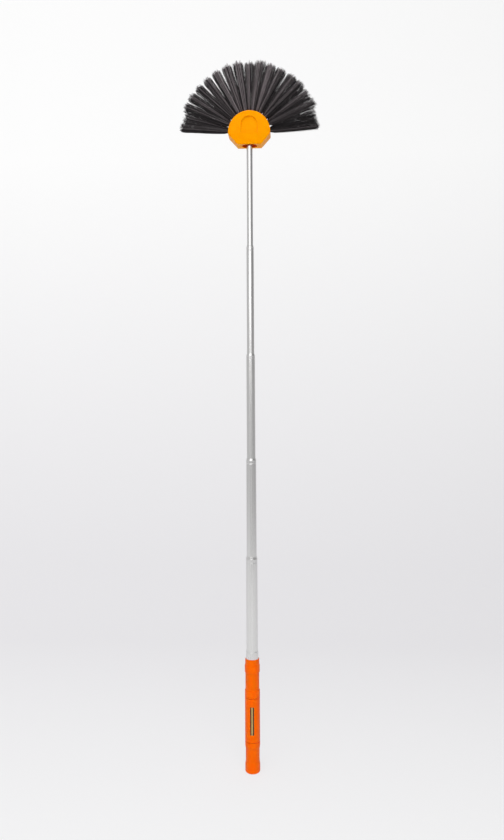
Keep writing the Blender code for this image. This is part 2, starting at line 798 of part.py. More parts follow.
ORANGE_PLASTIC = material("orange_plastic", ORANGE, PLASTIC_ROUGHNESS)
HEAD_PLASTIC = material("amber_plastic", AMBER, PLASTIC_ROUGHNESS)
TUBE_METAL = material("satin_aluminium", ALUMINIUM, METAL_ROUGHNESS, BARE_METAL)
BRISTLE_FIBRE = material("dark_bristle", BRISTLE, BRISTLE_ROUGHNESS)
BUSH_PLASTIC = material("bush_plastic", BUSH_WHITE, BUSH_ROUGHNESS)
LABEL_FINISH = material("label_finish", LABEL_BROWN, LABEL_ROUGHNESS)
SCREW_STEEL = material("screw_steel", STEEL, METAL_ROUGHNESS, BARE_METAL)

HANDLE = add_empty("handle_axis", (0, 0, 0))
make_end_cap()
make_grip()
make_collar()
make_liner()

carrier = add_empty("stage_1", UP * LINER_TOP, HANDLE)
for number in range(1, len(REACHES)):
    make_stage(number, carrier)
    carrier = add_empty(f"stage_{number + 1}", UP * REACHES[number - 1], carrier)
tip_tube = make_stage(len(REACHES), carrier)

HEAD = add_empty("head_centre", UP * (REACHES[-1] + HEAD_DROP), carrier)
make_head(HEAD)
make_adapter(HEAD, tip_tube)
make_screw(HEAD)
make_tufts(HEAD)
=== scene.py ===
# %% [markdown]
# # A telescopic cleaning brush
#
# A dusting brush on a long pole: a half circle of dark bristle tufts round an amber head, five
# bright metal tubes that slide into one another, and an orange handle with a bare dark strip.
#
# The engineering model comes first. It fixes every place and every moving joint, and this file
# dresses it: finer shapes for the pieces that show, a bristle fan with thousands of filaments,
# and a material for every surface. All lengths are in metres, and Z runs up along the pole.

import math
from contextlib import contextmanager
from functools import partial

import bmesh
import bpy
from mathutils import Matrix, Quaternion, Vector


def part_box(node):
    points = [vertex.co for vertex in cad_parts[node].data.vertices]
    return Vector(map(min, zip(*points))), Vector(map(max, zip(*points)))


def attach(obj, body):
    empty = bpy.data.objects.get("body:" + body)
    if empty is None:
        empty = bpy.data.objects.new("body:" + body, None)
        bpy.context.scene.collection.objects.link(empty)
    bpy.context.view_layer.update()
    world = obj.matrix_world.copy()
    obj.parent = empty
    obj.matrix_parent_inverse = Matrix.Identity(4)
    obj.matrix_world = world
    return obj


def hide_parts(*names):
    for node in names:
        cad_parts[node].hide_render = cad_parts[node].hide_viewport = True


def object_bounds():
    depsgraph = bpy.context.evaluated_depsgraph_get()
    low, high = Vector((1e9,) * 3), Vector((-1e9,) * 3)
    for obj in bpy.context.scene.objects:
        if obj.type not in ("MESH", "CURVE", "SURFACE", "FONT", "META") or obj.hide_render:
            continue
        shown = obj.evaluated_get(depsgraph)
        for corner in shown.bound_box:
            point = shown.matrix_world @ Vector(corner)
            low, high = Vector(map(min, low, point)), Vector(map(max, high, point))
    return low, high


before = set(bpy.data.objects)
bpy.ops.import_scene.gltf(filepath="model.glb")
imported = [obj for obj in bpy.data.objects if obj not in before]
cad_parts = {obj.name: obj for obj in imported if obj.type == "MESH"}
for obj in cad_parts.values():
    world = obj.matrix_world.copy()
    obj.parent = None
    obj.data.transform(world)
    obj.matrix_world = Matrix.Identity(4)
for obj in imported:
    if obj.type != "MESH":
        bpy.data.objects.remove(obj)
CAD_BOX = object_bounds()
MM = 0.001
UP = Vector((0, 0, 1))
print("box:", [round(v, 4) for corner in CAD_BOX for v in corner])

# %% [markdown]
# ## The camera
#
# The brush stands upright and was photographed from a little to its right, from half way up. A
# camera that is close to such a long thing sees the head from below and the handle from above,
# so its height and distance matter more than its lens. It leans by a third of a degree, which
# is why the pole does not look quite plumb.

# %% Place the camera
PICTURE_HEIGHT_PX = 840
FOCAL_LENGTH_PX = 680
SENSOR = 36.0
CAMERA_DISTANCE = 1270 * MM
CAMERA_HEIGHT = 679.5 * MM
CAMERA_AZIMUTH = math.radians(3.5)
CAMERA_LEAN = math.radians(0.3)
AIM_RIGHT = 1.9 * MM
AIM_DROP = 18.7 * MM


def add_object(name, data):
    """A new object in the scene."""
    made = bpy.data.objects.new(name, data)
    bpy.context.scene.collection.objects.link(made)
    return made


def add_camera():
    """A camera in front of the pole that looks almost level at it."""
    lens = bpy.data.cameras.new("camera")
    lens.sensor_width = SENSOR
    lens.lens = SENSOR * FOCAL_LENGTH_PX / PICTURE_HEIGHT_PX
    camera = add_object("camera", lens)
    sideways = Vector((math.cos(CAMERA_AZIMUTH), math.sin(CAMERA_AZIMUTH), 0))
    away = Vector((math.sin(CAMERA_AZIMUTH), -math.cos(CAMERA_AZIMUTH), 0))
    camera.location = away * CAMERA_DISTANCE + UP * CAMERA_HEIGHT
    aim = sideways * AIM_RIGHT + UP * (CAMERA_HEIGHT - AIM_DROP)
    look = (aim - camera.location).to_track_quat("-Z", "Y")
    camera.rotation_mode = "QUATERNION"
    camera.rotation_quaternion = look @ Quaternion((0, 0, 1), -CAMERA_LEAN)
    bpy.context.scene.camera = camera
    return camera


camera = add_camera()
print("lens:", round(camera.data.lens, 2), "mm at", tuple(round(v, 3) for v in camera.location))

# %% [markdown]
# ## The stage
#
# A photographer stands such a thing on a sweep of white paper: a floor that curves up into a
# wall, so that no line shows behind the pole. The sweep is one strip of faces from an outline
# in the YZ plane. Its material mixes a plain white for the light that it gives the brush with a
# soft grey run from top to bottom for the camera and for reflections. A camera behind or below
# the paper looks through it, so that the back of the brush can be seen too.

# %% Make the paper sweep
SWEEP_FRONT = -1.7
SWEEP_BACK = 1.6
SWEEP_HEIGHT = 3.6
SWEEP_HALF_WIDTH = 2.2
SWEEP_BEND = 0.9
SWEEP_STEPS = 24
FLOOR_DROP = 0.2 * MM


def arc(radius, start, end, steps, centre=(0, 0)):
    """Points along an arc from one angle to another, both ends included."""
    step = (end - start) / steps
    angles = [start + step * i for i in range(steps + 1)]
    return [(centre[0] + radius * math.cos(a), centre[1] + radius * math.sin(a)) for a in angles]


@contextmanager
def editing(mesh):
    """Open a mesh as a bmesh and write it back at the end."""
    shape = bmesh.new()
    shape.from_mesh(mesh)
    yield shape
    shape.to_mesh(mesh)
    shape.free()


def add_sweep():
    """Floor, bend and wall in one smooth strip."""
    bend_centre = (SWEEP_BACK - SWEEP_BEND, SWEEP_BEND - FLOOR_DROP)
    bend = arc(SWEEP_BEND, -math.pi / 2, 0, SWEEP_STEPS, bend_centre)
    line = [(SWEEP_FRONT, -FLOOR_DROP), *bend, (SWEEP_BACK, SWEEP_HEIGHT)]
    mesh = bpy.data.meshes.new("paper_sweep")
    with editing(mesh) as shape:
        left = [shape.verts.new((-SWEEP_HALF_WIDTH, y, z)) for y, z in line]
        right = [shape.verts.new((SWEEP_HALF_WIDTH, y, z)) for y, z in line]
        for corners in zip(left, right, right[1:], left[1:]):
            shape.faces.new(corners)
    mesh.shade_smooth()
    sweep = add_object("paper_sweep", mesh)
    return sweep


sweep = add_sweep()
print("sweep:", len(sweep.data.polygons), "faces")

# %% [markdown]
# ## Writing node trees
#
# Materials and Geometry Nodes are both trees of nodes, and most of those nodes are sums. The small
# class below lets the script write such a sum the plain way: adding two numbers of a tree adds a
# Math node to it. The functions after it plug values into sockets, by name or in their order,
# and make the kinds of node that come up again and again.

# %% A number that writes its own sums


class Number:
    """A number in a node tree, which can be added, multiplied and so on like a plain one."""

    def __init__(self, tree, socket):
        self.tree = tree
        self.socket = socket

    def __add__(self, other):
        return calc(self.tree, "ADD", self, other)

    def __sub__(self, other):
        return calc(self.tree, "SUBTRACT", self, other)

    def __rsub__(self, other):
        return calc(self.tree, "SUBTRACT", other, self)

    def __mul__(self, other):
        return calc(self.tree, "MULTIPLY", self, other)

    def __truediv__(self, other):
        return calc(self.tree, "DIVIDE", self, other)

    def __pow__(self, other):
        return calc(self.tree, "POWER", self, other)


print("numbers ready")

# %% Plug values in and make the common nodes


def plug(tree, value, target):
    """Give a socket a constant, or link it to a number, a socket or a node's first output."""
    if isinstance(value, Number):
        value = value.socket
    elif isinstance(value, bpy.types.Node):
        value = value.outputs[0]
    if isinstance(value, bpy.types.NodeSocket):
        tree.links.new(value, target)
    elif target.type == "RGBA":
        target.default_value = (*value, 1.0)
    else:
        target.default_value = value


def plug_all(tree, values, targets):
    """Plug values into sockets, in their order."""
    for value, target in zip(values, targets):
        plug(tree, value, target)


def add_node(tree, kind, **inputs):
    """Add a node and set or link its inputs by name."""
    made = tree.nodes.new(kind)
    for name, value in inputs.items():
        plug(tree, value, made.inputs[name.replace("_", " ").title()])
    return made


def calc(tree, operation, *values):
    """One Math node, as a number."""
    made = tree.nodes.new("ShaderNodeMath")
    made.operation = operation
    plug_all(tree, values, made.inputs)
    return Number(tree, made.outputs[0])


def split(tree, vector):
    """The three parts of a vector, as numbers."""
    made = add_node(tree, "ShaderNodeSeparateXYZ", vector=vector)
    return [Number(tree, part) for part in made.outputs]


print("sums ready")

# %% Patterns, mixtures and materials


def object_point(tree):
    """The point's own place on the brush."""
    return tree.nodes.new("ShaderNodeTexCoord").outputs["Object"]


def noise(tree, where, scale, detail=2.0):
    """Soft noise between 0 and 1."""
    return add_node(tree, "ShaderNodeTexNoise", vector=where, scale=scale, detail=detail).outputs["Fac"]


def ramp(tree, value, low, high, low_value=0.0, high_value=1.0):
    """Map a value from one span to another, clamped."""
    made = tree.nodes.new("ShaderNodeMapRange")
    plug_all(tree, (value, low, high, low_value, high_value), made.inputs)
    return Number(tree, made.outputs[0])


def mixed(tree, share, first, second):
    """Mix two colours by a share from 0 to 1."""
    made = tree.nodes.new("ShaderNodeMix")
    made.data_type = "RGBA"
    plug_all(tree, (share, first, second), (made.inputs[0], made.inputs[6], made.inputs[7]))
    return made.outputs[2]


def blended(tree, share, first, second):
    """Mix two shaders by a share from 0 to 1."""
    made = tree.nodes.new("ShaderNodeMixShader")
    plug_all(tree, (share, first, second), made.inputs)
    return made


def bumped(tree, height, distance, **more):
    """A normal that follows a height field."""
    return add_node(tree, "ShaderNodeBump", height=height, distance=distance, **more)


def new_material(name):
    """A new material, its node tree and its Principled shader."""
    made = bpy.data.materials.new(name)
    made.use_nodes = True
    return made, made.node_tree, made.node_tree.nodes["Principled BSDF"]


def finish_with(tree, shader, settings):
    """Set or link a shader's inputs by the names that they have."""
    for name, value in settings.items():
        plug(tree, value, shader.inputs[name])


print("materials ready")

# %% Finish the sweep
PAPER_WHITE = (0.80, 0.80, 0.80)
PAPER_TOP = (1.0, 1.0, 1.0)
PAPER_LOW = (0.79, 0.78, 0.803)
PAPER_FRONT = (0.90, 0.90, 0.907)
PAPER_HEIGHTS = (0.12, 1.75)
PAPER_NEARNESS = (SWEEP_BACK - SWEEP_BEND, -0.3)
PAPER_PAINTED_SIDE_LIGHT = (1.08, 1.01)
PAPER_GLOW_SHARE = 0.8


def paper_material():
    """White paper, shown to the camera and to reflections as a grey run of painted shade."""
    made, tree, shader = new_material("paper")
    finish_with(tree, shader, {"Base Color": PAPER_WHITE, "Roughness": 1.0})
    # The grey run down the wall, the paler floor in front and the stronger glow to the left are painted
    # shade and painted light on the white paper.
    x, y, z = split(tree, object_point(tree))
    wall = mixed(tree, ramp(tree, z, *PAPER_HEIGHTS), PAPER_LOW, PAPER_TOP)
    colour = mixed(tree, ramp(tree, y, *PAPER_NEARNESS), wall, PAPER_FRONT)
    strength = ramp(tree, x, -1.0, 1.0, *PAPER_PAINTED_SIDE_LIGHT)
    glow = add_node(tree, "ShaderNodeEmission", color=colour, strength=strength)
    ray = tree.nodes.new("ShaderNodeLightPath").outputs
    seen = calc(tree, "MAXIMUM", ray["Is Camera Ray"], ray["Is Transmission Ray"])
    seen = calc(tree, "MAXIMUM", seen, ray["Is Glossy Ray"])
    paper = blended(tree, seen * PAPER_GLOW_SHARE, shader, glow)
    behind = tree.nodes.new("ShaderNodeNewGeometry").outputs["Backfacing"]
    hidden = calc(tree, "MULTIPLY", behind, ray["Is Camera Ray"])
    one_sided = blended(tree, hidden, paper, tree.nodes.new("ShaderNodeBsdfTransparent"))
    plug(tree, one_sided, tree.nodes["Material Output"].inputs["Surface"])
    return made


sweep.data.materials.append(paper_material())
print("paper:", sweep.data.materials[0].name)

# %% [markdown]
# ## The light
#
# Polished tubes show their surroundings, so the light is placed by what they mirror. A wide
# softbox stands in front of the upper half: it draws the white line down the thin tubes, while
# the lower ones mirror the greyer floor. It is kept to glossy rays, since a second one, high in
# front, lights the brush and shades its steps and edges from above. A third one fills in the
# handle and is hidden from glossy rays, so the tubes don't mirror it. The room itself is a plain
# grey, darker to the right and darkest there above eye height.

# %% Light the stage
FRONT_POWER = 10.8
FRONT_PLACE = (-0.1, -1.75, 1.55)
FRONT_SIZE = (2.2, 1.2)
HIGH_POWER = 28.0
HIGH_PLACE = (-0.1, -0.95, 2.85)
HIGH_SIZE = (1.4, 1.2)
FILL_POWER = 8.2
FILL_PLACE = (0.2, -1.4, 0.35)
FILL_SIZE = (1.0, 0.5)
ROOM_LEFT = (0.60, 0.60, 0.60)
ROOM_RIGHT = (0.26, 0.26, 0.26)
ROOM_RIGHT_LOW = (0.46, 0.46, 0.46)
ROOM_EYE_SPAN = (0.04, 0.2)
ROOM_SEEN = (0.95, 0.95, 0.95)


def add_softbox(name, place, size, power, aim):
    """A large rectangular lamp that looks at a point."""
    light = bpy.data.lights.new(name, "AREA")
    light.shape = "RECTANGLE"
    light.size, light.size_y = size
    light.energy = power
    lamp = add_object(name, light)
    lamp.location = place
    lamp.rotation_mode = "QUATERNION"
    lamp.rotation_quaternion = (Vector(aim) - Vector(place)).to_track_quat("-Z", "Y")
    return lamp


def add_room():
    """A grey room that is darker to the upper right, and pale to the camera."""
    room = bpy.data.worlds.new("studio")
    room.use_nodes = True
    tree = room.node_tree
    x, _, z = split(tree, tree.nodes.new("ShaderNodeTexCoord").outputs["Generated"])
    right = mixed(tree, ramp(tree, z, *ROOM_EYE_SPAN), ROOM_RIGHT_LOW, ROOM_RIGHT)
    around = mixed(tree, ramp(tree, x, -1.0, 1.0), ROOM_LEFT, right)
    ray = tree.nodes.new("ShaderNodeLightPath")
    seen = mixed(tree, ray.outputs["Is Camera Ray"], around, ROOM_SEEN)
    plug(tree, seen, tree.nodes["Background"].inputs["Color"])
    bpy.context.scene.world = room


middle = (CAD_BOX[0] + CAD_BOX[1]) / 2
front = add_softbox("front_softbox", FRONT_PLACE, FRONT_SIZE, FRONT_POWER, (0, 0, FRONT_PLACE[2]))
front.visible_diffuse = False
add_softbox("high_softbox", HIGH_PLACE, HIGH_SIZE, HIGH_POWER, middle)
fill = add_softbox("fill_softbox", FILL_PLACE, FILL_SIZE, FILL_POWER, (0, 0, 0))
fill.visible_glossy = False
add_room()
bpy.context.scene.view_settings.view_transform = "Standard"

# %% [markdown]
# ## Moulded plastic
#
# The handle and the head are injection moulded. Such plastic is a plain colour with a satin
# skin: a fine texture from the mould that breaks up highlights, and very slight waves where
# the thicker places sank as they cooled. One function makes both colours, because only the
# pigment differs. Light goes a little way into it, red the farthest, so that shaded sides
# glow deeper and redder instead of going grey: that is the subsurface part. The specular tint
# keeps the colour deep and leaves the sheen at a grazing angle white. The grain comes from
# noise on the object's own coordinates, so it stays put when a piece moves.

# %% Make the moulded plastics
HANDLE_ORANGE = (0.95, 0.14, 0.002)
HEAD_AMBER = (1.0, 0.355, 0.0)
SOCKET_SHADE_AMBER = (0.62, 0.05, 0.0)
SHADE_SHARE = 0.96
GRAIN_SCALE = 900.0
GRAIN_DETAIL = 4.0
GRAIN_SPAN = (0.3, 0.7)
GRAIN_HEIGHT = 0.035 * MM
SINK_SCALE = 60.0
SINK_HEIGHT = 0.12 * MM
PLASTIC_ROUGHNESS = (0.34, 0.46)
PLASTIC_SPECULAR = 0.3
GLOW_WEIGHT = 0.3
GLOW_REACH = (1.0, 0.2, 0.05)
HANDLE_GLOW = 2.5 * MM
HEAD_GLOW = 4 * MM


def mottled(tree, share, colour):
    """A colour that is a little darker where the share is low."""
    return mixed(tree, share, tuple(part * SHADE_SHARE for part in colour), colour)


def moulded_plastic(name, colour, glow):
    """Satin plastic with a fine mould texture that lets some light in."""
    made, tree, shader = new_material(name)
    grain = noise(tree, object_point(tree), GRAIN_SCALE, GRAIN_DETAIL)
    sink = noise(tree, object_point(tree), SINK_SCALE)
    finish_with(tree, shader, {
        "Base Color": mottled(tree, sink, colour),
        "Roughness": ramp(tree, grain, *GRAIN_SPAN, *PLASTIC_ROUGHNESS),
        "Normal": bumped(tree, sink, SINK_HEIGHT, normal=bumped(tree, grain, GRAIN_HEIGHT)),
        "Specular IOR Level": PLASTIC_SPECULAR,
        "Specular Tint": colour,
        "Subsurface Weight": GLOW_WEIGHT,
        "Subsurface Radius": GLOW_REACH,
        "Subsurface Scale": glow,
    })
    return made


ORANGE_PLASTIC = moulded_plastic("orange_plastic", HANDLE_ORANGE, HANDLE_GLOW)
AMBER_PLASTIC = moulded_plastic("amber_plastic", HEAD_AMBER, HEAD_GLOW)
# The socket's wall is the head's own amber, given a deeper red as painted shade for the dark inside of
# the mouth.
SOCKET_PAINTED_SHADE = moulded_plastic("socket_painted_shade_plastic", SOCKET_SHADE_AMBER, HEAD_GLOW)
print("plastics:", ORANGE_PLASTIC.name, AMBER_PLASTIC.name, SOCKET_PAINTED_SHADE.name)

# %% [markdown]
# ## Drawn metal
#
# Thin tubes are pulled through a die, which leaves faint lines along their length. On the
# photographed brush the upper tubes look bright down their middle and grey at both sides, and
# the lower ones look satin with quiet streaks. That comes from what they mirror, so the
# material only needs metal, a moderate roughness and lines that run along Z.

# %% Make the tube metal
METAL_GREY = (0.80, 0.795, 0.79)
METAL_DARK = (0.70, 0.695, 0.69)
LINE_SCALE = (1.0, 1.0, 0.002)
LINE_COUNT = 1500.0
LINE_DETAIL = 3.0
LINE_HEIGHT = 0.004 * MM
METAL_ROUGHNESS = (0.22, 0.36)


def drawn_metal():
    """Bright drawn aluminium with lines along the tube."""
    made, tree, shader = new_material("drawn_aluminium")
    stretched = add_node(tree, "ShaderNodeMapping", vector=object_point(tree), scale=LINE_SCALE)
    lines = noise(tree, stretched, LINE_COUNT, LINE_DETAIL)
    finish_with(tree, shader, {
        "Base Color": mixed(tree, lines, METAL_DARK, METAL_GREY),
        "Metallic": 1.0,
        "Roughness": ramp(tree, lines, *GRAIN_SPAN, *METAL_ROUGHNESS),
        "Normal": bumped(tree, lines, LINE_HEIGHT),
    })
    return made


TUBE_METAL = drawn_metal()
print("metal:", TUBE_METAL.name)

# %% [markdown]
# ## The small finishes
#
# The label strip is a printed film, bare here but for a plain pale stripe along its middle. The
# hidden bushes are white bearing plastic, and the screw in the back is plated steel.

# %% Make the film, the bush plastic and the plated steel
FILM_DARK = (0.045, 0.035, 0.02)
FILM_STRIPE = (0.46, 0.32, 0.12)
STRIPE_SHARE = 0.4
STRIPE_BLUR_SHARE = 0.1
FILM_ROUGHNESS = 0.5
FILM_SPECULAR = 0.15
BUSH_WHITE = (0.78, 0.77, 0.72)
BUSH_ROUGHNESS = (0.4, 0.55)
STEEL_GREY = (0.55, 0.55, 0.56)
STEEL_ROUGHNESS = (0.25, 0.4)


def label_film(centre_x, half_width):
    """Dark film with a pale stripe along it."""
    made, tree, shader = new_material("label_film")
    off = calc(tree, "ABSOLUTE", split(tree, object_point(tree))[0] - centre_x)
    edge = half_width * STRIPE_SHARE
    blur = half_width * STRIPE_BLUR_SHARE
    finish_with(tree, shader, {
        "Base Color": mixed(tree, ramp(tree, off, edge + blur, edge - blur), FILM_DARK, FILM_STRIPE),
        "Roughness": FILM_ROUGHNESS,
        "Specular IOR Level": FILM_SPECULAR,
    })
    return made


def speckled(name, colour, roughness, metallic):
    """A plain finish with a little variation in its gloss."""
    made, tree, shader = new_material(name)
    grain = noise(tree, object_point(tree), GRAIN_SCALE)
    finish_with(tree, shader, {
        "Base Color": mottled(tree, grain, colour),
        "Metallic": metallic,
        "Roughness": ramp(tree, grain, *GRAIN_SPAN, *roughness),
    })
    return made


label_low, label_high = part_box("label_strip")
LABEL_FILM = label_film((label_low.x + label_high.x) / 2, (label_high.x - label_low.x) / 2)
BUSH_PLASTIC = speckled("bearing_plastic", BUSH_WHITE, BUSH_ROUGHNESS, 0.0)
PLATED_STEEL = speckled("plated_steel", STEEL_GREY, STEEL_ROUGHNESS, 1.0)
print("small finishes:", LABEL_FILM.name, BUSH_PLASTIC.name, PLATED_STEEL.name)

# %% [markdown]
# ## A lathe in Geometry Nodes
#
# Most of this brush is turned: sleeves, tubes, beads and grooves. Each is one outline, spun
# about Z. The tree below takes an outline of plain edges, rounds its corners with Fillet Curve
# and sweeps it along a circle. Curve to Mesh lays the outline's X away from the circle's centre
# and its Y down, so the tree swaps the axes first. One tree serves every turned piece, and its
# named inputs set how round the corners are and how many sides the piece has.

# %% Build the lathe tree


def new_tree(name, inputs):
    """A Geometry Nodes group with named inputs, and its two ends."""
    tree = bpy.data.node_groups.new(name, "GeometryNodeTree")
    tree.interface.new_socket("Geometry", in_out="INPUT", socket_type="NodeSocketGeometry")
    for label, kind in inputs:
        tree.interface.new_socket(label, in_out="INPUT", socket_type="NodeSocket" + kind)
    tree.interface.new_socket("Geometry", in_out="OUTPUT", socket_type="NodeSocketGeometry")
    return tree, tree.nodes.new("NodeGroupInput"), tree.nodes.new("NodeGroupOutput")


def send_out(tree, geometry, start, end):
    """Make a tree's result real, give it its finish and send it out."""
    real = add_node(tree, "GeometryNodeRealizeInstances", geometry=geometry)
    finish = add_node(tree, "GeometryNodeSetMaterial", geometry=real, material=start.outputs["Finish"])
    plug(tree, finish, end.inputs["Geometry"])


MERGE_DISTANCE = 0.002 * MM
FILLET_STEPS = 4


def lathe_tree():
    """Spin an outline in the XZ plane about Z."""
    inputs = [("Corner Radius", "Float"), ("Sides", "Int"), ("Finish", "Material")]
    tree, start, end = new_tree("lathe", inputs)
    given = start.outputs
    add = partial(add_node, tree)
    outline = add("GeometryNodeMeshToCurve", mesh=given["Geometry"])
    rounded = add("GeometryNodeFilletCurve", curve=outline, radius=given["Corner Radius"])
    rounded.mode = "POLY"
    rounded.inputs["Count"].default_value = FILLET_STEPS
    rounded.inputs["Limit Radius"].default_value = True
    x, _, z = split(tree, add("GeometryNodeInputPosition"))
    swapped = add("ShaderNodeCombineXYZ", x=x - 1.0, y=z * -1.0)
    profile = add("GeometryNodeSetPosition", geometry=rounded, position=swapped)
    circle = add("GeometryNodeCurvePrimitiveCircle", resolution=given["Sides"], radius=1.0)
    swept = add("GeometryNodeCurveToMesh", curve=circle, profile_curve=profile)
    welded = add("GeometryNodeMergeByDistance", geometry=swept, distance=MERGE_DISTANCE)
    send_out(tree, welded, start, end)
    return tree


LATHE = lathe_tree()
print("lathe tree:", len(LATHE.nodes), "nodes")

# %% Helpers that run modifiers and keep the result
SMOOTH_ANGLE = math.radians(32)
FULL_WEIGHT = 100


def settled(source, name, even_normals=True):
    """Keep what an object's modifiers make, as a plain mesh object at the origin."""
    bpy.context.view_layer.update()
    evaluated = source.evaluated_get(bpy.context.evaluated_depsgraph_get())
    mesh = bpy.data.meshes.new_from_object(evaluated)
    mesh.name = name
    mesh.transform(source.matrix_world)
    bpy.data.objects.remove(source)
    piece = add_object(name, mesh)
    if even_normals:
        mesh.shade_smooth()
        mesh.set_sharp_from_angle(angle=SMOOTH_ANGLE)
        weighted = piece.modifiers.new("even_normals", "WEIGHTED_NORMAL")
        weighted.keep_sharp = True
        weighted.weight = FULL_WEIGHT
        return settled(piece, name, even_normals=False)
    return piece


def grown(name, mesh, tree, settings, even_normals=True):
    """Run a Geometry Nodes tree on a mesh, with its inputs set by name, and keep the result."""
    source = add_object(name, mesh)
    modifier = source.modifiers.new(name, "NODES")
    modifier.node_group = tree
    for item in tree.interface.items_tree:
        if item.in_out == "INPUT" and item.name in settings:
            modifier[item.identifier] = settings[item.name]
    return settled(source, name, even_normals)


def outline_mesh(name, outline, closed):
    """Plain edges through (radius, height) points."""
    points = [(radius, 0, height) for radius, height in outline]
    edges = [(i, i + 1) for i in range(len(points) - 1)]
    if closed:
        edges.append((len(points) - 1, 0))
    mesh = bpy.data.meshes.new(name)
    mesh.from_pydata(points, edges, [])
    return mesh


def turned(name, outline, finish, corner, sides, closed=True):
    """Run the lathe on an outline: down the outer side, across and up the inner side."""
    settings = {"Corner Radius": corner, "Sides": sides, "Finish": finish}
    return grown(name, outline_mesh(name, outline, closed), LATHE, settings)


def fitted(piece, body, slot, *nodes):
    """Hand a finished piece to the body that it moves with and the nodes that it stands for."""
    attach(piece, body)
    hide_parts(*nodes)
    print(piece.name, "rides on", body, "with", len(piece.data.polygons), "faces")


print("workshop ready")

# %% [markdown]
# ## The handle
#
# Three mouldings make the handle: a cup at the lower end with a foot band and a narrow waist, a
# plain sleeve for the hand, and a collar with a step, a neck, a fine groove, a ring and a
# tapered rim. Narrow gaps show where they meet. The outer sizes come from the engineering
# model, and the steps in between are the same as there.

# %% Measure the handle
cap_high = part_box("end_cap")[1]
grip_low, grip_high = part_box("grip_sleeve")
collar_low, collar_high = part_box("collar")
liner_low, liner_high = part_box("liner_tube")
SIDES_HANDLE = 128
SOFT_CORNER = 0.35 * MM
SLEEVE_FIT = 0.1 * MM
SLEEVE_BORE = liner_high.x + SLEEVE_FIT
GRIP_RADIUS = grip_high.x
SEAM_CHAMFER = 0.6 * MM
print("grip radius:", round(GRIP_RADIUS / MM, 2), "mm, bore:", round(SLEEVE_BORE / MM, 2), "mm")

# %% Turn the end cap
FACE_INSET = 3 * MM
CAP_FLOOR = 6 * MM
FOOT_BAND_TOP = 15.5 * MM
WAIST_BOTTOM = 22 * MM
WAIST_TOP = 44.5 * MM
SHOULDER_TOP = 50.5 * MM
WAIST_WALL = 1.4 * MM
CAP_CLEARANCE = 0.2 * MM
LINER_SOCKET = 7 * MM
TUBE_WALL = 0.5 * MM
FOOT_STEPS = 8


def end_cap_outline():
    """Cup with a socket for the liner, a waist, a foot band and a rounded foot."""
    bore = liner_high.x - TUBE_WALL + CAP_CLEARANCE
    waist = bore + WAIST_WALL
    band = cap_high.x
    top = cap_high.z
    return [
        (0, CAP_FLOOR),
        (bore, CAP_FLOOR),
        (bore, top - LINER_SOCKET),
        (SLEEVE_BORE, top - LINER_SOCKET),
        (SLEEVE_BORE, top),
        (GRIP_RADIUS - SEAM_CHAMFER, top),
        (GRIP_RADIUS, top - SEAM_CHAMFER),
        (GRIP_RADIUS, SHOULDER_TOP),
        (waist, WAIST_TOP),
        (waist, WAIST_BOTTOM),
        (band, FOOT_BAND_TOP),
        *arc(FACE_INSET, 0, -math.pi / 2, FOOT_STEPS, (band - FACE_INSET, FACE_INSET)),
        (0, 0),
    ]


end_cap = turned(
    "end_cap_moulding", end_cap_outline(), ORANGE_PLASTIC, SOFT_CORNER, SIDES_HANDLE, closed=False
)
fitted(end_cap, "handle", "handle_plastic", "end_cap")

# %% Turn the collar
COLLAR_FOOT_RISE = 0.05 * MM
COLLAR_STEP = 14 * MM
COLLAR_NECK = 33 * MM
COLLAR_NECK_WALL = 1 * MM
COLLAR_GROOVE = 0.8 * MM
COLLAR_GROOVE_DEPTH = 0.4 * MM
COLLAR_RING = 13.5 * MM
COLLAR_RIM_WALL = 1.05 * MM
COLLAR_TAPER_WALL = 1.4 * MM
COLLAR_EDGE = 0.8 * MM


def collar_outline():
    """Stepped foot, neck with a groove, raised ring and tapered rim."""
    bottom, top = collar_low.z, collar_high.z
    foot = GRIP_RADIUS + COLLAR_FOOT_RISE
    neck = SLEEVE_BORE + COLLAR_NECK_WALL
    groove = neck - COLLAR_GROOVE_DEPTH
    rim = SLEEVE_BORE + COLLAR_RIM_WALL
    ring = collar_high.x
    neck_bottom = (grip_high.z + collar_low.z) / 2 + COLLAR_STEP
    neck_top = neck_bottom + COLLAR_NECK
    ring_top = neck_top + COLLAR_RING
    return [
        (SLEEVE_BORE, top),
        (rim - COLLAR_EDGE / 2, top),
        (rim, top - COLLAR_EDGE),
        (SLEEVE_BORE + COLLAR_TAPER_WALL, ring_top),
        (ring - COLLAR_EDGE / 2, ring_top),
        (ring, ring_top - COLLAR_EDGE),
        (ring, neck_top + COLLAR_EDGE),
        (ring - COLLAR_EDGE / 2, neck_top),
        (groove, neck_top),
        (groove, neck_top - COLLAR_GROOVE),
        (neck, neck_top - COLLAR_GROOVE),
        (neck, neck_bottom + COLLAR_EDGE),
        (foot, neck_bottom - COLLAR_EDGE),
        (foot, bottom + SEAM_CHAMFER),
        (foot - SEAM_CHAMFER, bottom),
        (SLEEVE_BORE, bottom),
    ]


collar = turned("collar_moulding", collar_outline(), ORANGE_PLASTIC, SOFT_CORNER, SIDES_HANDLE)
fitted(collar, "handle", "handle_plastic", "collar")

# %% [markdown]
# ## The grip and its label strip
#
# The grip is a plain sleeve with a shallow recess in its front. The strip lies in it a hair
# below the surface. Both follow the sleeve's curve, so each is a slice of a ring: a flat
# outline from two arcs, filled and extruded as a 2D curve. A Boolean takes the recess out.

# %% Make flat plates and cut with them
LABEL_ARC_STEPS = 16
FLAT_ANGLE = math.radians(1)


def mesh_alone(piece):
    """Keep a piece's mesh and drop its object."""
    mesh = piece.data
    bpy.data.objects.remove(piece)
    return mesh


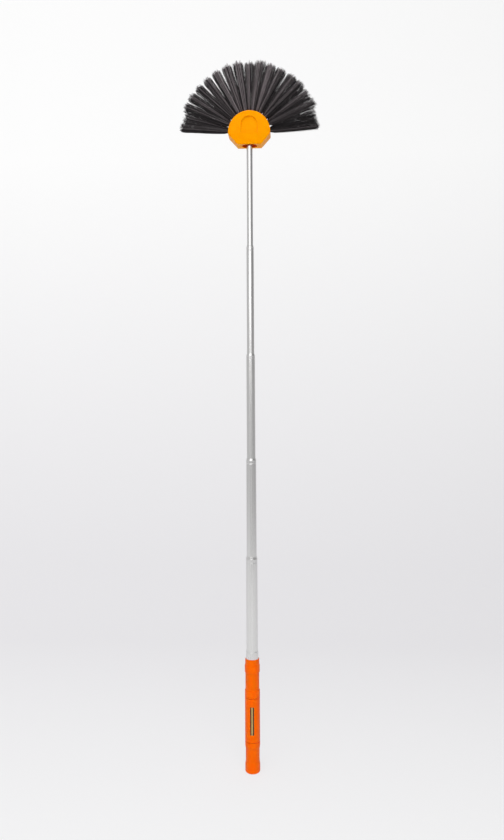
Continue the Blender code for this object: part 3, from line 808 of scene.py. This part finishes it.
def plate(name, outline, half_thickness):
    """Fill a flat outline and extrude it both ways along Z, welded into one closed mesh."""
    curve = bpy.data.curves.new(name, "CURVE")
    curve.dimensions = "2D"
    curve.fill_mode = "BOTH"
    curve.extrude = half_thickness
    line = curve.splines.new("POLY")
    line.points.add(len(outline) - 1)
    for point, (x, y) in zip(line.points, outline):
        point.co = (x, y, 0, 1)
    line.use_cyclic_u = True
    mesh = mesh_alone(settled(add_object(name, curve), name, even_normals=False))
    bpy.data.curves.remove(curve)
    with editing(mesh) as shape:
        bmesh.ops.remove_doubles(shape, verts=shape.verts, dist=MERGE_DISTANCE)
        bmesh.ops.dissolve_limit(shape, angle_limit=FLAT_ANGLE, verts=shape.verts, edges=shape.edges)
    return mesh


def ring_slice(name, half_width, inner_radius, outer_radius, half_height):
    """A slice of a ring on the front of the handle."""
    half = half_width / GRIP_RADIUS
    front = -math.pi / 2
    out = arc(outer_radius, front - half, front + half, LABEL_ARC_STEPS)
    back = arc(inner_radius, front + half, front - half, LABEL_ARC_STEPS)
    return plate(name, out + back, half_height)


def cut_with(piece, name, mesh, matrix=None):
    """Take a mesh out of a piece and throw the cutter away."""
    cutter = add_object(name, mesh)
    if matrix is not None:
        cutter.matrix_world = matrix
    carve = piece.modifiers.new(name, "BOOLEAN")
    carve.operation = "DIFFERENCE"
    carve.solver = "EXACT"
    carve.object = cutter
    result = settled(piece, piece.name)
    bpy.data.objects.remove(cutter)
    return result


print("plates and cutters ready")

# %% Turn the grip, cut its recess and lay the strip in
LABEL_GAP = 0.15 * MM
LABEL_DEPTH = 0.55 * MM
OVERRUN = 3 * MM

grip_outline = [
    (SLEEVE_BORE, grip_high.z),
    (GRIP_RADIUS - SEAM_CHAMFER, grip_high.z),
    (GRIP_RADIUS, grip_high.z - SEAM_CHAMFER),
    (GRIP_RADIUS, grip_low.z + SEAM_CHAMFER),
    (GRIP_RADIUS - SEAM_CHAMFER, grip_low.z),
    (SLEEVE_BORE, grip_low.z),
]
grip = turned("grip_moulding", grip_outline, ORANGE_PLASTIC, SOFT_CORNER, SIDES_HANDLE)
label_half_width = GRIP_RADIUS * math.asin((label_high.x - label_low.x) / 2 / -label_low.y)
label_half_height = (label_high.z - label_low.z) / 2
label_middle = (label_high.z + label_low.z) / 2
recess_floor = GRIP_RADIUS - LABEL_DEPTH
recess_width = label_half_width + LABEL_GAP
recess_height = label_half_height + LABEL_GAP
recess = ring_slice("recess", recess_width, recess_floor, GRIP_RADIUS + OVERRUN, recess_height)
grip = cut_with(grip, "recess", recess, Matrix.Translation(UP * label_middle))
fitted(grip, "handle", "handle_plastic", "grip_sleeve")

strip = ring_slice("label", label_half_width, recess_floor + LABEL_GAP, -label_low.y, label_half_height)
strip.transform(Matrix.Translation(UP * label_middle))
strip.materials.append(LABEL_FILM)
label = settled(add_object("label_film_strip", strip), "label_film_strip")
fitted(label, "handle", "label", "label_strip")

# %% [markdown]
# ## The tubes
#
# Each tube is 2.5 mm thinner than the one outside it. Its mouth is necked in to guide the next
# tube, with a rolled bead under the cone, and a rolled groove below stops the next tube's foot.
# The thinnest tube is plain and goes into the head. The outline of one mouth serves them all,
# from the widest, which is fixed in the handle, to the fourth sliding one.

# %% Measure the tubes
SIDES_TUBE = 96
METAL_CORNER = 0.22 * MM
STAGES = 5
tube_boxes = [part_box(f"tube_{stage}") for stage in range(1, STAGES + 1)]
BEAD_RISE = 0.35 * MM
TUBE_RADII = [liner_high.x] + [high.x - BEAD_RISE for _, high in tube_boxes[:-1]] + [tube_boxes[-1][1].x]
print("tube radii:", [round(radius / MM, 2) for radius in TUBE_RADII], "mm")

# %% Draw the outline of a tube
MOUTH_FIT = 0.15 * MM
MOUTH_LIP = 0.8 * MM
MOUTH_CONE = 2.9 * MM
LINER_CONE = 12.7 * MM
BEAD_LENGTH = 1.6 * MM
BEAD_STEPS = 8
GROOVE_DROP = 3.8 * MM
GROOVE_LENGTH = 1.8 * MM
GROOVE_DEPTH = 0.25 * MM
SEAT_DEPTH = 0.15 * MM
SEAT_PLAY = 0.3 * MM


def bead(radius, top, bottom):
    """The rolled bead's round side, from its top down."""
    middle = (top + bottom) / 2
    half = (top - bottom) / 2
    turns = [math.pi * i / BEAD_STEPS for i in range(1, BEAD_STEPS)]
    return [(radius + BEAD_RISE * math.sin(t), middle + half * math.cos(t)) for t in turns]


def mouth_outline(stage, top):
    """Outer side of a tube's mouth, top down, and its inner side, bottom up."""
    outside = TUBE_RADII[stage]
    inside = outside - TUBE_WALL
    bore = TUBE_RADII[stage + 1] + MOUTH_FIT
    cone_bottom = top - MOUTH_LIP - (MOUTH_CONE if stage else LINER_CONE)
    bead_bottom = cone_bottom - BEAD_LENGTH if stage else cone_bottom
    groove_top = bead_bottom - GROOVE_DROP
    groove_middle = groove_top - GROOVE_LENGTH / 2
    groove_bottom = groove_top - GROOVE_LENGTH
    rolled = [*bead(outside, cone_bottom, bead_bottom), (outside, bead_bottom)] if stage else []
    down = [
        (bore + TUBE_WALL, top),
        (bore + TUBE_WALL, top - MOUTH_LIP),
        (outside, cone_bottom),
        *rolled,
        (outside, groove_top),
        (outside - GROOVE_DEPTH, groove_middle),
        (outside, groove_bottom),
    ]
    up = [
        (inside, groove_bottom),
        (inside - GROOVE_DEPTH, groove_middle),
        (inside, groove_top),
        (inside, cone_bottom),
        (bore, top - MOUTH_LIP),
        (bore, top),
    ]
    return down, up


def tube_outline(stage):
    """A whole sliding tube: its mouth, its plain length and the seat for its bush."""
    low, high = tube_boxes[stage - 1]
    bush_low, bush_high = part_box(f"bush_{stage}")
    outside = TUBE_RADII[stage]
    if stage < STAGES:
        down, up = mouth_outline(stage, high.z)
    else:
        down, up = [(outside, high.z)], [(outside - TUBE_WALL, high.z)]
    foot = [
        (outside, bush_high.z + SEAT_PLAY),
        (outside - SEAT_DEPTH, bush_high.z + SEAT_PLAY),
        (outside - SEAT_DEPTH, bush_low.z - SEAT_PLAY),
        (outside, bush_low.z - SEAT_PLAY),
        (outside, low.z),
        (outside - TUBE_WALL, low.z),
    ]
    return down + foot + up


print("outline of the first tube:", len(tube_outline(1)), "points")

# %% Turn the tubes


def drawn(name, outline):
    """Turn a piece of drawn tube."""
    return turned(name, outline, TUBE_METAL, METAL_CORNER, SIDES_TUBE)


down, up = mouth_outline(0, liner_high.z)
liner_outline = [*down, (liner_high.x, liner_low.z), (liner_high.x - TUBE_WALL, liner_low.z), *up]
fitted(drawn("liner_drawn", liner_outline), "handle", "tube_metal", "liner_tube")
for stage in range(1, STAGES):
    node = f"tube_{stage}"
    fitted(drawn(f"{node}_drawn", tube_outline(stage)), node, "tube_metal", node)

# %% [markdown]
# ## The head
#
# The head is one thick round block with two slanting flats below, which narrow it towards the
# pole. Its front leans back below the line where they start, and an arched pocket is sunk in
# the round part. Underneath there is an oval socket for the pole, and nineteen holes round the
# rim hold the bristles. It is made the way a machinist would: an extruded outline with rounded
# edges, then one cut after another.

# %% Measure the head
head_low, head_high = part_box("head_block")
HEAD_RADIUS = head_high.x
HEAD_THICKNESS = head_high.y - head_low.y
HEAD_CENTRE = Vector((0, 0, head_high.z - HEAD_RADIUS))
HEAD_DROP = HEAD_CENTRE.z - head_low.z
HEAD_PLACE = Matrix.Translation(HEAD_CENTRE)
STAND = Matrix.Rotation(math.pi / 2, 4, "X")
CHAMFER_TOP = 3.5 * MM
BOTTOM_WIDTH = 44 * MM
HEAD_EDGE = 1.2 * MM
HEAD_EDGE_STEPS = 5
LOWER_SET_BACK = 2.8 * MM
print("head:", [round(v / MM, 2) for v in (HEAD_RADIUS, HEAD_THICKNESS, HEAD_DROP)], "mm")

# %% Round the block
HEAD_ARC_STEPS = 120
HEAD_SIDE_STEPS = 3
EDGE_ANGLE = math.radians(25)


def head_outline():
    """Circle with two lower flats and a level bottom, seen from the front."""
    side = math.asin(CHAMFER_TOP / HEAD_RADIUS)
    bottom_x = BOTTOM_WIDTH / 2
    top = arc(HEAD_RADIUS, 0, math.pi, HEAD_ARC_STEPS)
    left = arc(HEAD_RADIUS, math.pi, math.pi + side, HEAD_SIDE_STEPS)[1:]
    right = arc(HEAD_RADIUS, -side, 0, HEAD_SIDE_STEPS)[:-1]
    return [*top, *left, (-bottom_x, -HEAD_DROP), (bottom_x, -HEAD_DROP), *right]


def lean_back(mesh):
    """Split the block where its flats start and lean the front back below that line."""
    with editing(mesh) as shape:
        everything = [*shape.verts, *shape.edges, *shape.faces]
        line = -UP * CHAMFER_TOP
        bmesh.ops.bisect_plane(shape, geom=everything, dist=MERGE_DISTANCE, plane_co=line, plane_no=UP)
        for corner in shape.verts:
            below = -CHAMFER_TOP - corner.co.z
            if corner.co.y < 0 < below:
                corner.co.y += LOWER_SET_BACK * below / (HEAD_DROP - CHAMFER_TOP)


def with_round_edges(name, mesh, width, steps):
    """A piece from a mesh, with every real edge rounded."""
    piece = add_object(name, mesh)
    rounding = piece.modifiers.new("edges", "BEVEL")
    rounding.width = width
    rounding.segments = steps
    rounding.limit_method = "ANGLE"
    rounding.angle_limit = EDGE_ANGLE
    return settled(piece, name)


block = plate("head", head_outline(), HEAD_THICKNESS / 2)
block.transform(STAND)
lean_back(block)
block.materials.append(AMBER_PLASTIC)
head = with_round_edges("head_moulding", block, HEAD_EDGE, HEAD_EDGE_STEPS)
print("block:", len(head.data.polygons), "faces")

# %% Sink the arched pocket
ARCH_RADIUS = 15 * MM
ARCH_TOP_MARGIN = 10.2 * MM
ARCH_SILL = 1.5 * MM
ARCH_DEPTH = 2.2 * MM
ARCH_EDGE = 0.4 * MM
ARCH_EDGE_STEPS = 4
ARCH_DRAFT = 1.5 * MM
ARCH_STEPS = 48

arch_centre = HEAD_RADIUS - ARCH_TOP_MARGIN - ARCH_RADIUS
arch_top = arc(ARCH_RADIUS, 0, math.pi, ARCH_STEPS, (0, arch_centre))
sill = ARCH_SILL - CHAMFER_TOP
arch_mesh = plate("arch", [*arch_top, (-ARCH_RADIUS, sill), (ARCH_RADIUS, sill)], ARCH_DEPTH + OVERRUN)
arch_mesh.transform(STAND)
for corner in arch_mesh.vertices:
    if corner.co.y < 0:
        corner.co.x *= 1 + ARCH_DRAFT / ARCH_RADIUS
        corner.co.z += (corner.co.z - arch_centre) * ARCH_DRAFT / ARCH_RADIUS
arch_mesh = mesh_alone(with_round_edges("arch", arch_mesh, ARCH_EDGE, ARCH_EDGE_STEPS))
arch_place = Matrix.Translation((0, -HEAD_THICKNESS / 2 - OVERRUN, 0))
head = cut_with(head, "arch", arch_mesh, arch_place)
print("pocket cut:", len(head.data.polygons), "faces")

# %% Cut the oval socket
MOUTH_WIDTH = 28 * MM
MOUTH_WALL = 1.4 * MM
SOCKET_DEPTH = 44 * MM
SOCKET_DRAFT = 1 * MM
OVAL_SIDES = 96
WALL_TILT = 0.5


def rod(radius, bottom, top, sides, top_radius=None, squash=1.0):
    """A rod or cone along Z, flattened along Y by squash."""
    end_radius = radius if top_radius is None else top_radius
    place = Matrix.Translation(UP * (top + bottom) / 2) @ Matrix.Diagonal((1, squash, 1, 1))
    mesh = bpy.data.meshes.new("rod")
    with editing(mesh) as shape:
        bmesh.ops.create_cone(
            shape, cap_ends=True, segments=sides, radius1=radius, radius2=end_radius, depth=top - bottom
        )
        bmesh.ops.transform(shape, matrix=place, verts=shape.verts)
    return mesh


def oval_plug(bottom, top, play=0.0):
    """Tapered oval plug between two heights over the head's bottom."""
    depth = HEAD_THICKNESS / 2 - LOWER_SET_BACK - MOUTH_WALL
    half_width = MOUTH_WIDTH / 2 - play
    draft = SOCKET_DRAFT / SOCKET_DEPTH
    low, high = half_width - draft * bottom, half_width - draft * top
    return rod(low, bottom - HEAD_DROP, top - HEAD_DROP, OVAL_SIDES, high, (depth - play) / half_width)


def lines_socket(face):
    """Whether a face of the head is part of the socket's wall."""
    place, normal = face.center, face.normal
    near = math.hypot(place.x, place.y) < MOUTH_WIDTH / 2
    low = -HEAD_DROP < place.z < SOCKET_DEPTH - HEAD_DROP
    inward = normal.x * place.x + normal.y * place.y < 0
    return near and low and inward and abs(normal.z) < WALL_TILT


head = cut_with(head, "socket", oval_plug(-OVERRUN, SOCKET_DEPTH))
# Painted shade: the socket's wall gets the deeper red for the dark inside of the mouth.
head.data.materials.append(SOCKET_PAINTED_SHADE)
wall = [face for face in head.data.polygons if lines_socket(face)]
for face in wall:
    face.material_index = 1
print("socket cut:", len(head.data.polygons), "faces,", len(wall), "of them its wall")

# %% Drill the tuft holes
TUFTS = 19
FIRST_TUFT = math.radians(5.5)
TUFT_STEP = (math.pi - 2 * FIRST_TUFT) / (TUFTS - 1)
ROW_SPACING = 9 * MM
HOLE_RADIUS = 2.6 * MM
HOLE_DEPTH = 8 * MM
HOLE_SIDES = 24


def tuft_holes():
    """All the holes as one cutter, alternating between a front and a rear row."""
    mesh = bpy.data.meshes.new("tuft_holes")
    with editing(mesh) as shape:
        for index in range(TUFTS):
            hole = rod(HOLE_RADIUS, HEAD_RADIUS - HOLE_DEPTH, HEAD_RADIUS + OVERRUN, HOLE_SIDES)
            row = -ROW_SPACING / 2 if index % 2 == 0 else ROW_SPACING / 2
            lean = Matrix.Rotation(math.pi / 2 - FIRST_TUFT - TUFT_STEP * index, 4, "Y")
            hole.transform(Matrix.Translation((0, row, 0)) @ lean)
            shape.from_mesh(hole)
            bpy.data.meshes.remove(hole)
    return mesh


head = cut_with(head, "tuft_holes", tuft_holes())
print("holes drilled:", len(head.data.polygons), "faces")

# %% [markdown]
# ## The screw and the plug
#
# An oval plug fills the socket and grips the end of the thinnest tube, and one small screw from
# the back holds all three together. The screw is turned, and its cross is cut with two bars.

# %% Cut the screw's seat and make the plug
SCREW_HEIGHT = 5 * MM
SCREW_RADIUS = 1.45 * MM
SCREW_HEAD_RADIUS = 3.1 * MM
SCREW_HEAD_HEIGHT = 1.9 * MM
SCREW_HEAD_DOME = 0.7 * MM
SCREW_SUNK = 2.2 * MM
SCREW_TIP = 2 * MM
SCREW_REACH = 2.5 * MM
SCREW_FIT = 0.3 * MM
SCREW_CORNER = 0.3 * MM
RECESS_WIDTH = 0.9 * MM
RECESS_SPAN = 3.4 * MM
RECESS_DEPTH = 1 * MM
ADAPTER_RECESS = 12 * MM
ADAPTER_FIT = 0.2 * MM
ADAPTER_ROOF = 4 * MM
TUBE_FIT = 0.15 * MM
SIDES_SCREW = 48

tip_radius = TUBE_RADII[-1]
SCREW_LENGTH = HEAD_THICKNESS / 2 - SCREW_SUNK - (tip_radius - TUBE_WALL) + SCREW_REACH
SCREW_POINT = -SCREW_SUNK - SCREW_LENGTH
screw_foot = Matrix.Translation((0, HEAD_THICKNESS / 2, SCREW_HEIGHT))
screw_axis = screw_foot @ Matrix.Rotation(-math.pi / 2, 4, "X")


def screw_hole(mouth_radius):
    """Clearance hole with a sunk seat, along the screw's axis."""
    shank = SCREW_RADIUS + SCREW_FIT
    end = SCREW_POINT - OVERRUN
    outline = [(0, OVERRUN), (mouth_radius, OVERRUN), (mouth_radius, -SCREW_SUNK)]
    outline += [(shank, -SCREW_SUNK), (shank, end), (0, end)]
    mesh = mesh_alone(turned("screw_hole", outline, PLATED_STEEL, 0.0, SIDES_SCREW, closed=False))
    with editing(mesh) as shape:
        bmesh.ops.recalc_face_normals(shape, faces=shape.faces)
    return mesh


head = cut_with(head, "screw_seat", screw_hole(SCREW_HEAD_RADIUS + SCREW_FIT), screw_axis)
head.data.transform(HEAD_PLACE)
fitted(head, "brush_head", "head_plastic", "head_block")

plug_mesh = oval_plug(ADAPTER_RECESS, SOCKET_DEPTH - ADAPTER_FIT, ADAPTER_FIT)
plug_mesh.materials.append(AMBER_PLASTIC)
bore_top = SOCKET_DEPTH - ADAPTER_FIT - ADAPTER_ROOF - HEAD_DROP
tube_bore = rod(tip_radius + TUBE_FIT, -HEAD_DROP - OVERRUN, bore_top, SIDES_TUBE)
adapter = cut_with(add_object("socket_plug", plug_mesh), "tube_bore", tube_bore)
adapter = cut_with(adapter, "plug_hole", screw_hole(SCREW_RADIUS + SCREW_FIT), screw_axis)
adapter.data.transform(HEAD_PLACE)
fitted(adapter, "brush_head", "head_plastic", "socket_adapter")

# %% Turn the thinnest tube and the screw
tip_tube = drawn("tube_5_drawn", tube_outline(STAGES))
tip_tube = cut_with(tip_tube, "tube_hole", screw_hole(SCREW_RADIUS + SCREW_FIT), HEAD_PLACE @ screw_axis)
fitted(tip_tube, "brush_head", "tube_metal", "tube_5")

seat = -SCREW_SUNK + SCREW_FIT / 2
crown = seat + SCREW_HEAD_HEIGHT
screw_outline = [
    (0, crown),
    (SCREW_HEAD_RADIUS - SCREW_HEAD_DOME, crown),
    (SCREW_HEAD_RADIUS, crown - SCREW_HEAD_DOME),
    (SCREW_HEAD_RADIUS, seat),
    (SCREW_RADIUS, seat),
    (SCREW_RADIUS, SCREW_POINT + SCREW_TIP),
    (0, SCREW_POINT),
]
screw = turned("head_screw_plated", screw_outline, PLATED_STEEL, SCREW_CORNER, SIDES_SCREW, closed=False)
bar_size = Matrix.Diagonal((RECESS_SPAN, RECESS_WIDTH, RECESS_DEPTH * 2, 1))
for turn in (0, math.pi / 2):
    bar_place = Matrix.Rotation(turn, 4, "Z") @ Matrix.Translation(UP * crown)
    bar = bpy.data.meshes.new("cross")
    with editing(bar) as shape:
        bmesh.ops.create_cube(shape, size=1)
        bmesh.ops.transform(shape, matrix=bar_place @ bar_size, verts=shape.verts)
    screw = cut_with(screw, "cross", bar)
screw.data.transform(HEAD_PLACE @ screw_axis)
fitted(screw, "brush_head", "screw_steel", "head_screw")

# %% Finish the hidden bushes
for stage in range(1, STAGES + 1):
    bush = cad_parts[f"bush_{stage}"]
    bush.data.materials.clear()
    bush.data.materials.append(BUSH_PLASTIC)
print("bushes finished:", STAGES)

# %% [markdown]
# ## The bristle fan
#
# Nineteen tufts stand out of the rim like the ribs of a fan, in a front row and a rear row that
# take turns. Each is a bundle of stiff plastic filaments, packed tight in its hole, that puffs
# out as soon as it is free and meets its neighbours. Filaments cling together in clumps that
# share a length and a shade, they are slightly crimped, and a few stray out of the bundle. Those
# at a tuft's sides end lower, which leaves notches between the tufts, and are painted darker:
# painted shade where the tufts lie in each other's shadow. The upright tufts are painted paler,
# a painted light from above, and those to the upper left stand a little looser, so that slits of
# light show between them. The two end tufts stay slim on their outer side.
#
# All of that is rule and chance, so Geometry Nodes grow it: one point for each filament, which
# knows its tuft and its place in the bundle, then a straight line on each point, bent by what
# the point knows, and at last a thin three-sided skin. Clumps come from noise over the place in
# the bundle, because neighbours then get nearly the same value. The filament's shade, its own
# tone together with the painted shade and painted light, is kept as an attribute for the material.

# %% Make the bristle plastic
BRISTLE_DARK = (0.003, 0.0026, 0.003)
BRISTLE_LIGHT = (0.42, 0.365, 0.38)
BRISTLE_ROUGHNESS = 0.38
BRISTLE_SPECULAR = 0.18


def bristle_plastic():
    """Dark filament whose tone differs from one to the next, with painted shade and light in it."""
    made, tree, shader = new_material("bristle_plastic")
    shade = tree.nodes.new("ShaderNodeAttribute")
    shade.attribute_name = "filament_tone_and_painted_light"
    finish_with(tree, shader, {
        "Base Color": mixed(tree, shade.outputs["Fac"], BRISTLE_DARK, BRISTLE_LIGHT),
        "Roughness": BRISTLE_ROUGHNESS,
        "Specular IOR Level": BRISTLE_SPECULAR,
    })
    return made


BRISTLE = bristle_plastic()
print("bristle:", BRISTLE.name)

# %% Choose the sizes of the fan
REACHES = (132.5 * MM, 130.5 * MM)
PLUG_DEPTH = 6 * MM
TIP_SPACING = 1 * MM
FILAMENTS = 330
SEED = 7


def row_sizes(row):
    """What the bristle tree is told for the front row, 0, or the rear row, 1."""
    side = 2 * row - 1
    return {
        "Row": row,
        "Tufts": TUFTS,
        "Row Tufts": (TUFTS + 1 - row) // 2,
        "Filaments": FILAMENTS,
        "Seed": SEED + row,
        "First Angle": FIRST_TUFT,
        "Step Angle": TUFT_STEP,
        "Row Place": side * ROW_SPACING / 2,
        "Row Tip Place": side * TIP_SPACING / 2,
        "Root Height": HEAD_RADIUS - PLUG_DEPTH,
        "Rim Radius": HEAD_RADIUS,
        "Reach": REACHES[row],
        "Crown": 8 * MM,
        "Root Radius": 2.5 * MM,
        "Tip Width": 20.5 * MM,
        "Tip Depth": 12 * MM,
        "Side Widening": 0.16,
        "Left Loosening": 0.18,
        "End Slimming": 0.5,
        "Tuft Unevenness": 5 * MM,
        "Notch": 4 * MM,
        "Ragged": 10 * MM,
        "Crimp": 0.6 * MM,
        "Stray": 4 * MM,
        "Tuft Lean": math.radians(0.5),
        "Thickness": 0.13 * MM,
    }


print("tufts in each row:", [row_sizes(row)["Row Tufts"] for row in (0, 1)])

# %% Choose how the filaments grow
FILAMENT_POINTS = 9
FILAMENT_SIDES = 3
GOLDEN_TURN = math.pi * (3 - math.sqrt(5))
CLUMP_LENGTH_SCALE = 2.8
CLUMP_SHADE_SCALE = 4.5
CLUMP_SHADE_DEPTH = 0.15
CLUMP_SHARE = 0.72
CLUMP_SPAN = (0.36, 0.64)
TUFT_SALT = 7.3
SHADE_SALT = 3.1
# Painted shade on the sides of each tuft, for the shadow between tufts:
SIDE_PAINTED_SHADE_SHARE = 0.6
SHADE_BIAS = 1.9
# Painted light on the upright tufts, which are made paler as if lit from above:
UPRIGHT_PAINTED_LIGHT = (0.43, 0.98)
WIDTH_SPAN = (0.92, 1.08)
EITHER_WAY = (-1.0, 1.0)
NOTCH_POWER = 6.0
LENGTH_BIAS = 1.3
STRAY_BIAS = 6.0
ROOT_BIAS = 1.4
FLARE_ACROSS = 0.5
FLARE_END = 0.45
FLARE_DEEP = 0.3
CRIMP_SWING = 9.0
print("turn between filaments:", round(math.degrees(GOLDEN_TURN), 1), "degrees")

# %% Draw a chance, store a fact and read it back


def enabled(sockets, label=None):
    """The sockets in use among a node's many kinds, as a list."""
    return [s for s in sockets if s.enabled and label in (None, s.name)]


def chance(tree, seed, identity, salt, low=0.0, high=1.0):
    """A fixed random number for a filament or a tuft."""
    made = tree.nodes.new("FunctionNodeRandomValue")
    made.data_type = "FLOAT"
    plug_all(tree, (low, high, identity, seed + salt), enabled(made.inputs))
    return Number(tree, enabled(made.outputs)[0])


def keep(tree, geometry, name, value):
    """Store a number on every filament."""
    made = add_node(tree, "GeometryNodeStoreNamedAttribute", geometry=geometry, name=name)
    plug(tree, value, enabled(made.inputs, "Value")[0])
    return made


def recall(tree, name):
    """Read a stored number back."""
    made = add_node(tree, "GeometryNodeInputNamedAttribute", name=name)
    return Number(tree, enabled(made.outputs, "Attribute")[0])


print("chance and memory ready")

# %% Work out what each filament knows


def place_in_bundle(tree, given):
    """A filament's number, its tuft, and its place across and along the depth of the bundle."""
    index = Number(tree, add_node(tree, "GeometryNodeInputIndex").outputs[0])
    filaments = given["Filaments"]
    place_in_row = calc(tree, "FLOOR", index / filaments)
    tuft = place_in_row * 2.0 + given["Row"]
    rank = index - place_in_row * filaments
    out = calc(tree, "SQRT", (rank + 0.5) / filaments)
    turn = rank * GOLDEN_TURN + tuft
    return index, tuft, out * calc(tree, "COSINE", turn), out * calc(tree, "SINE", turn)


def filament_facts(tree, given):
    """What each filament knows of its direction, its length, its spread and its shade."""
    index, tuft, across, deep = place_in_bundle(tree, given)
    math_of = partial(calc, tree)
    any_of = partial(chance, tree, given["Seed"])

    def shared(scale, salt, own, depth_share=1.0):
        """Mix a filament's own number with one that its neighbours in the bundle share."""
        place = {"x": across * scale, "y": deep * (scale * depth_share), "z": tuft * TUFT_SALT + salt}
        spot = add_node(tree, "ShaderNodeCombineXYZ", **place)
        clump = ramp(tree, noise(tree, spot, 1.0), *CLUMP_SPAN)
        return clump * CLUMP_SHARE + own * (1.0 - CLUMP_SHARE)

    lean = given["Tuft Lean"] * any_of(tuft, 1, *EITHER_WAY)
    angle = given["First Angle"] + given["Step Angle"] * tuft + lean
    notch = given["Notch"] * math_of("ABSOLUTE", across) ** NOTCH_POWER
    crown = given["Crown"] * math_of("SINE", angle)
    shorter = given["Tuft Unevenness"] * any_of(tuft, 9) + notch - crown
    ragged = given["Ragged"] * shared(CLUMP_LENGTH_SCALE, 0.0, any_of(index, 2) ** LENGTH_BIAS)
    stray = given["Stray"] * any_of(index, 3) ** STRAY_BIAS

    sideways = math_of("ABSOLUTE", math_of("COSINE", angle))
    to_the_left = math_of("MAXIMUM", math_of("SINE", angle * 2.0) * -1.0, 0.0)
    wider = given["Side Widening"] * sideways + any_of(tuft, 10, *WIDTH_SPAN)
    wider = wider - given["Left Loosening"] * to_the_left
    right_end = math_of("LESS_THAN", tuft, 0.5) * math_of("LESS_THAN", across, 0.0)
    last_tuft = math_of("GREATER_THAN", tuft, given["Tufts"] - 1.5)
    outermost = right_end + last_tuft * math_of("GREATER_THAN", across, 0.0)
    half_width = given["Tip Width"] / 2.0 * wider * (1.0 - outermost * given["End Slimming"])
    half_depth = given["Tip Depth"] / 2.0
    stray_x = stray * any_of(index, 4, *EITHER_WAY)
    stray_y = stray * any_of(index, 5, *EITHER_WAY)

    shade = shared(CLUMP_SHADE_SCALE, SHADE_SALT, any_of(index, 8), CLUMP_SHADE_DEPTH)
    # Painted shade: filaments at a tuft's sides are darkened for the shadow that falls between tufts.
    shade = shade * (1.0 - across * across * SIDE_PAINTED_SHADE_SHARE)
    # Painted light: the upright tufts are made paler, as if lit more from above.
    painted_upright_light = math_of("SINE", angle) ** 2.0 * UPRIGHT_PAINTED_LIGHT[1] + UPRIGHT_PAINTED_LIGHT[0]

    return {
        "f_angle": angle,
        "f_reach": given["Reach"] - shorter - ragged,
        "f_root_x": across * given["Root Radius"],
        "f_tip_x": across * half_width + stray_x,
        "f_root_y": deep * given["Root Radius"] + given["Row Place"],
        "f_tip_y": deep * half_depth + stray_y + given["Row Tip Place"],
        "f_flare": outermost * (FLARE_END - FLARE_ACROSS) + FLARE_ACROSS,
        "f_phase": any_of(index, 6, 0.0, math.tau),
        "f_crimp": given["Crimp"] * any_of(index, 7, *EITHER_WAY),
        "filament_tone_and_painted_light": shade ** SHADE_BIAS * painted_upright_light,
    }


print("facts ready")

# %% Bend the filaments and build the bristle tree


def bent_place(tree, given):
    """Where each point of a straight filament goes, from what the filament knows."""
    math_of = partial(calc, tree)
    known = partial(recall, tree)
    along = Number(tree, add_node(tree, "GeometryNodeSplineParameter").outputs["Factor"]) ** ROOT_BIAS
    root, rim, reach = given["Root Height"], given["Rim Radius"], known("f_reach")
    radius = root + (reach - root) * along
    free = math_of("MAXIMUM", (radius - rim) / (reach - rim), 0.0)

    def spread(side, flare):
        """How far off the tuft's axis a filament is, from its root to its tip."""
        at_root = known("f_root_" + side)
        return at_root + (known("f_tip_" + side) - at_root) * free ** flare

    swing = free * CRIMP_SWING + known("f_phase")
    crimp = known("f_crimp") * free
    off_x = spread("x", known("f_flare")) + crimp * math_of("SINE", swing)
    off_y = spread("y", FLARE_DEEP) + crimp * math_of("COSINE", swing)
    bowed = math_of("SQRT", radius * radius - off_x * off_x)
    cosine = math_of("COSINE", known("f_angle"))
    sine = math_of("SINE", known("f_angle"))
    x = bowed * cosine - off_x * sine
    z = bowed * sine + off_x * cosine
    return add_node(tree, "ShaderNodeCombineXYZ", x=x, y=off_y, z=z)


def bristle_tree(sizes):
    """Grow one row of the fan about the head's centre, in the XZ plane."""
    inputs = [(label, "Int" if isinstance(value, int) else "Float") for label, value in sizes.items()]
    tree, start, end = new_tree("bristle_row", [*inputs, ("Finish", "Material")])
    given = {label: Number(tree, start.outputs[label]) for label in sizes}
    add = partial(add_node, tree)

    kept = add("GeometryNodePoints", count=given["Row Tufts"] * given["Filaments"])
    for name, value in filament_facts(tree, given).items():
        kept = keep(tree, kept, name, value)

    line = add("GeometryNodeCurvePrimitiveLine", end=(0, 0, 1))
    parts = add("GeometryNodeResampleCurve", curve=line, count=FILAMENT_POINTS)
    placed = add("GeometryNodeInstanceOnPoints", points=kept, instance=parts)
    real = add("GeometryNodeRealizeInstances", geometry=placed)
    bent = add("GeometryNodeSetPosition", geometry=real, position=bent_place(tree, given))

    skin = add("GeometryNodeCurvePrimitiveCircle", resolution=FILAMENT_SIDES, radius=1.0)
    sized = add("GeometryNodeSetCurveRadius", curve=bent, radius=1.0)
    mesh = add("GeometryNodeCurveToMesh", curve=sized, profile_curve=skin, fill_caps=True)
    plug(tree, given["Thickness"], mesh.inputs["Scale"])
    send_out(tree, mesh, start, end)
    return tree


FAN = bristle_tree(row_sizes(0))
print("bristle tree:", len(FAN.nodes), "nodes")

# %% Grow the two rows


def grow_row(name, row):
    """Run the bristle tree for one row and keep its mesh."""
    settings = {**row_sizes(row), "Finish": BRISTLE}
    fan = grown(name, bpy.data.meshes.new(name), FAN, settings, even_normals=False)
    fan.data.shade_smooth()
    fan.data.transform(HEAD_PLACE)
    return fan


for row, name in enumerate(("bristle_row_front", "bristle_row_rear")):
    fan = grow_row(name, row)
    tuft_nodes = [f"bristle_tuft_{number:02d}" for number in range(1 + row, TUFTS + 1, 2)]
    fitted(fan, "brush_head", "bristle", *tuft_nodes)
    print("top of the row:", round(max(v.co.z for v in fan.data.vertices) / MM, 1), "mm")
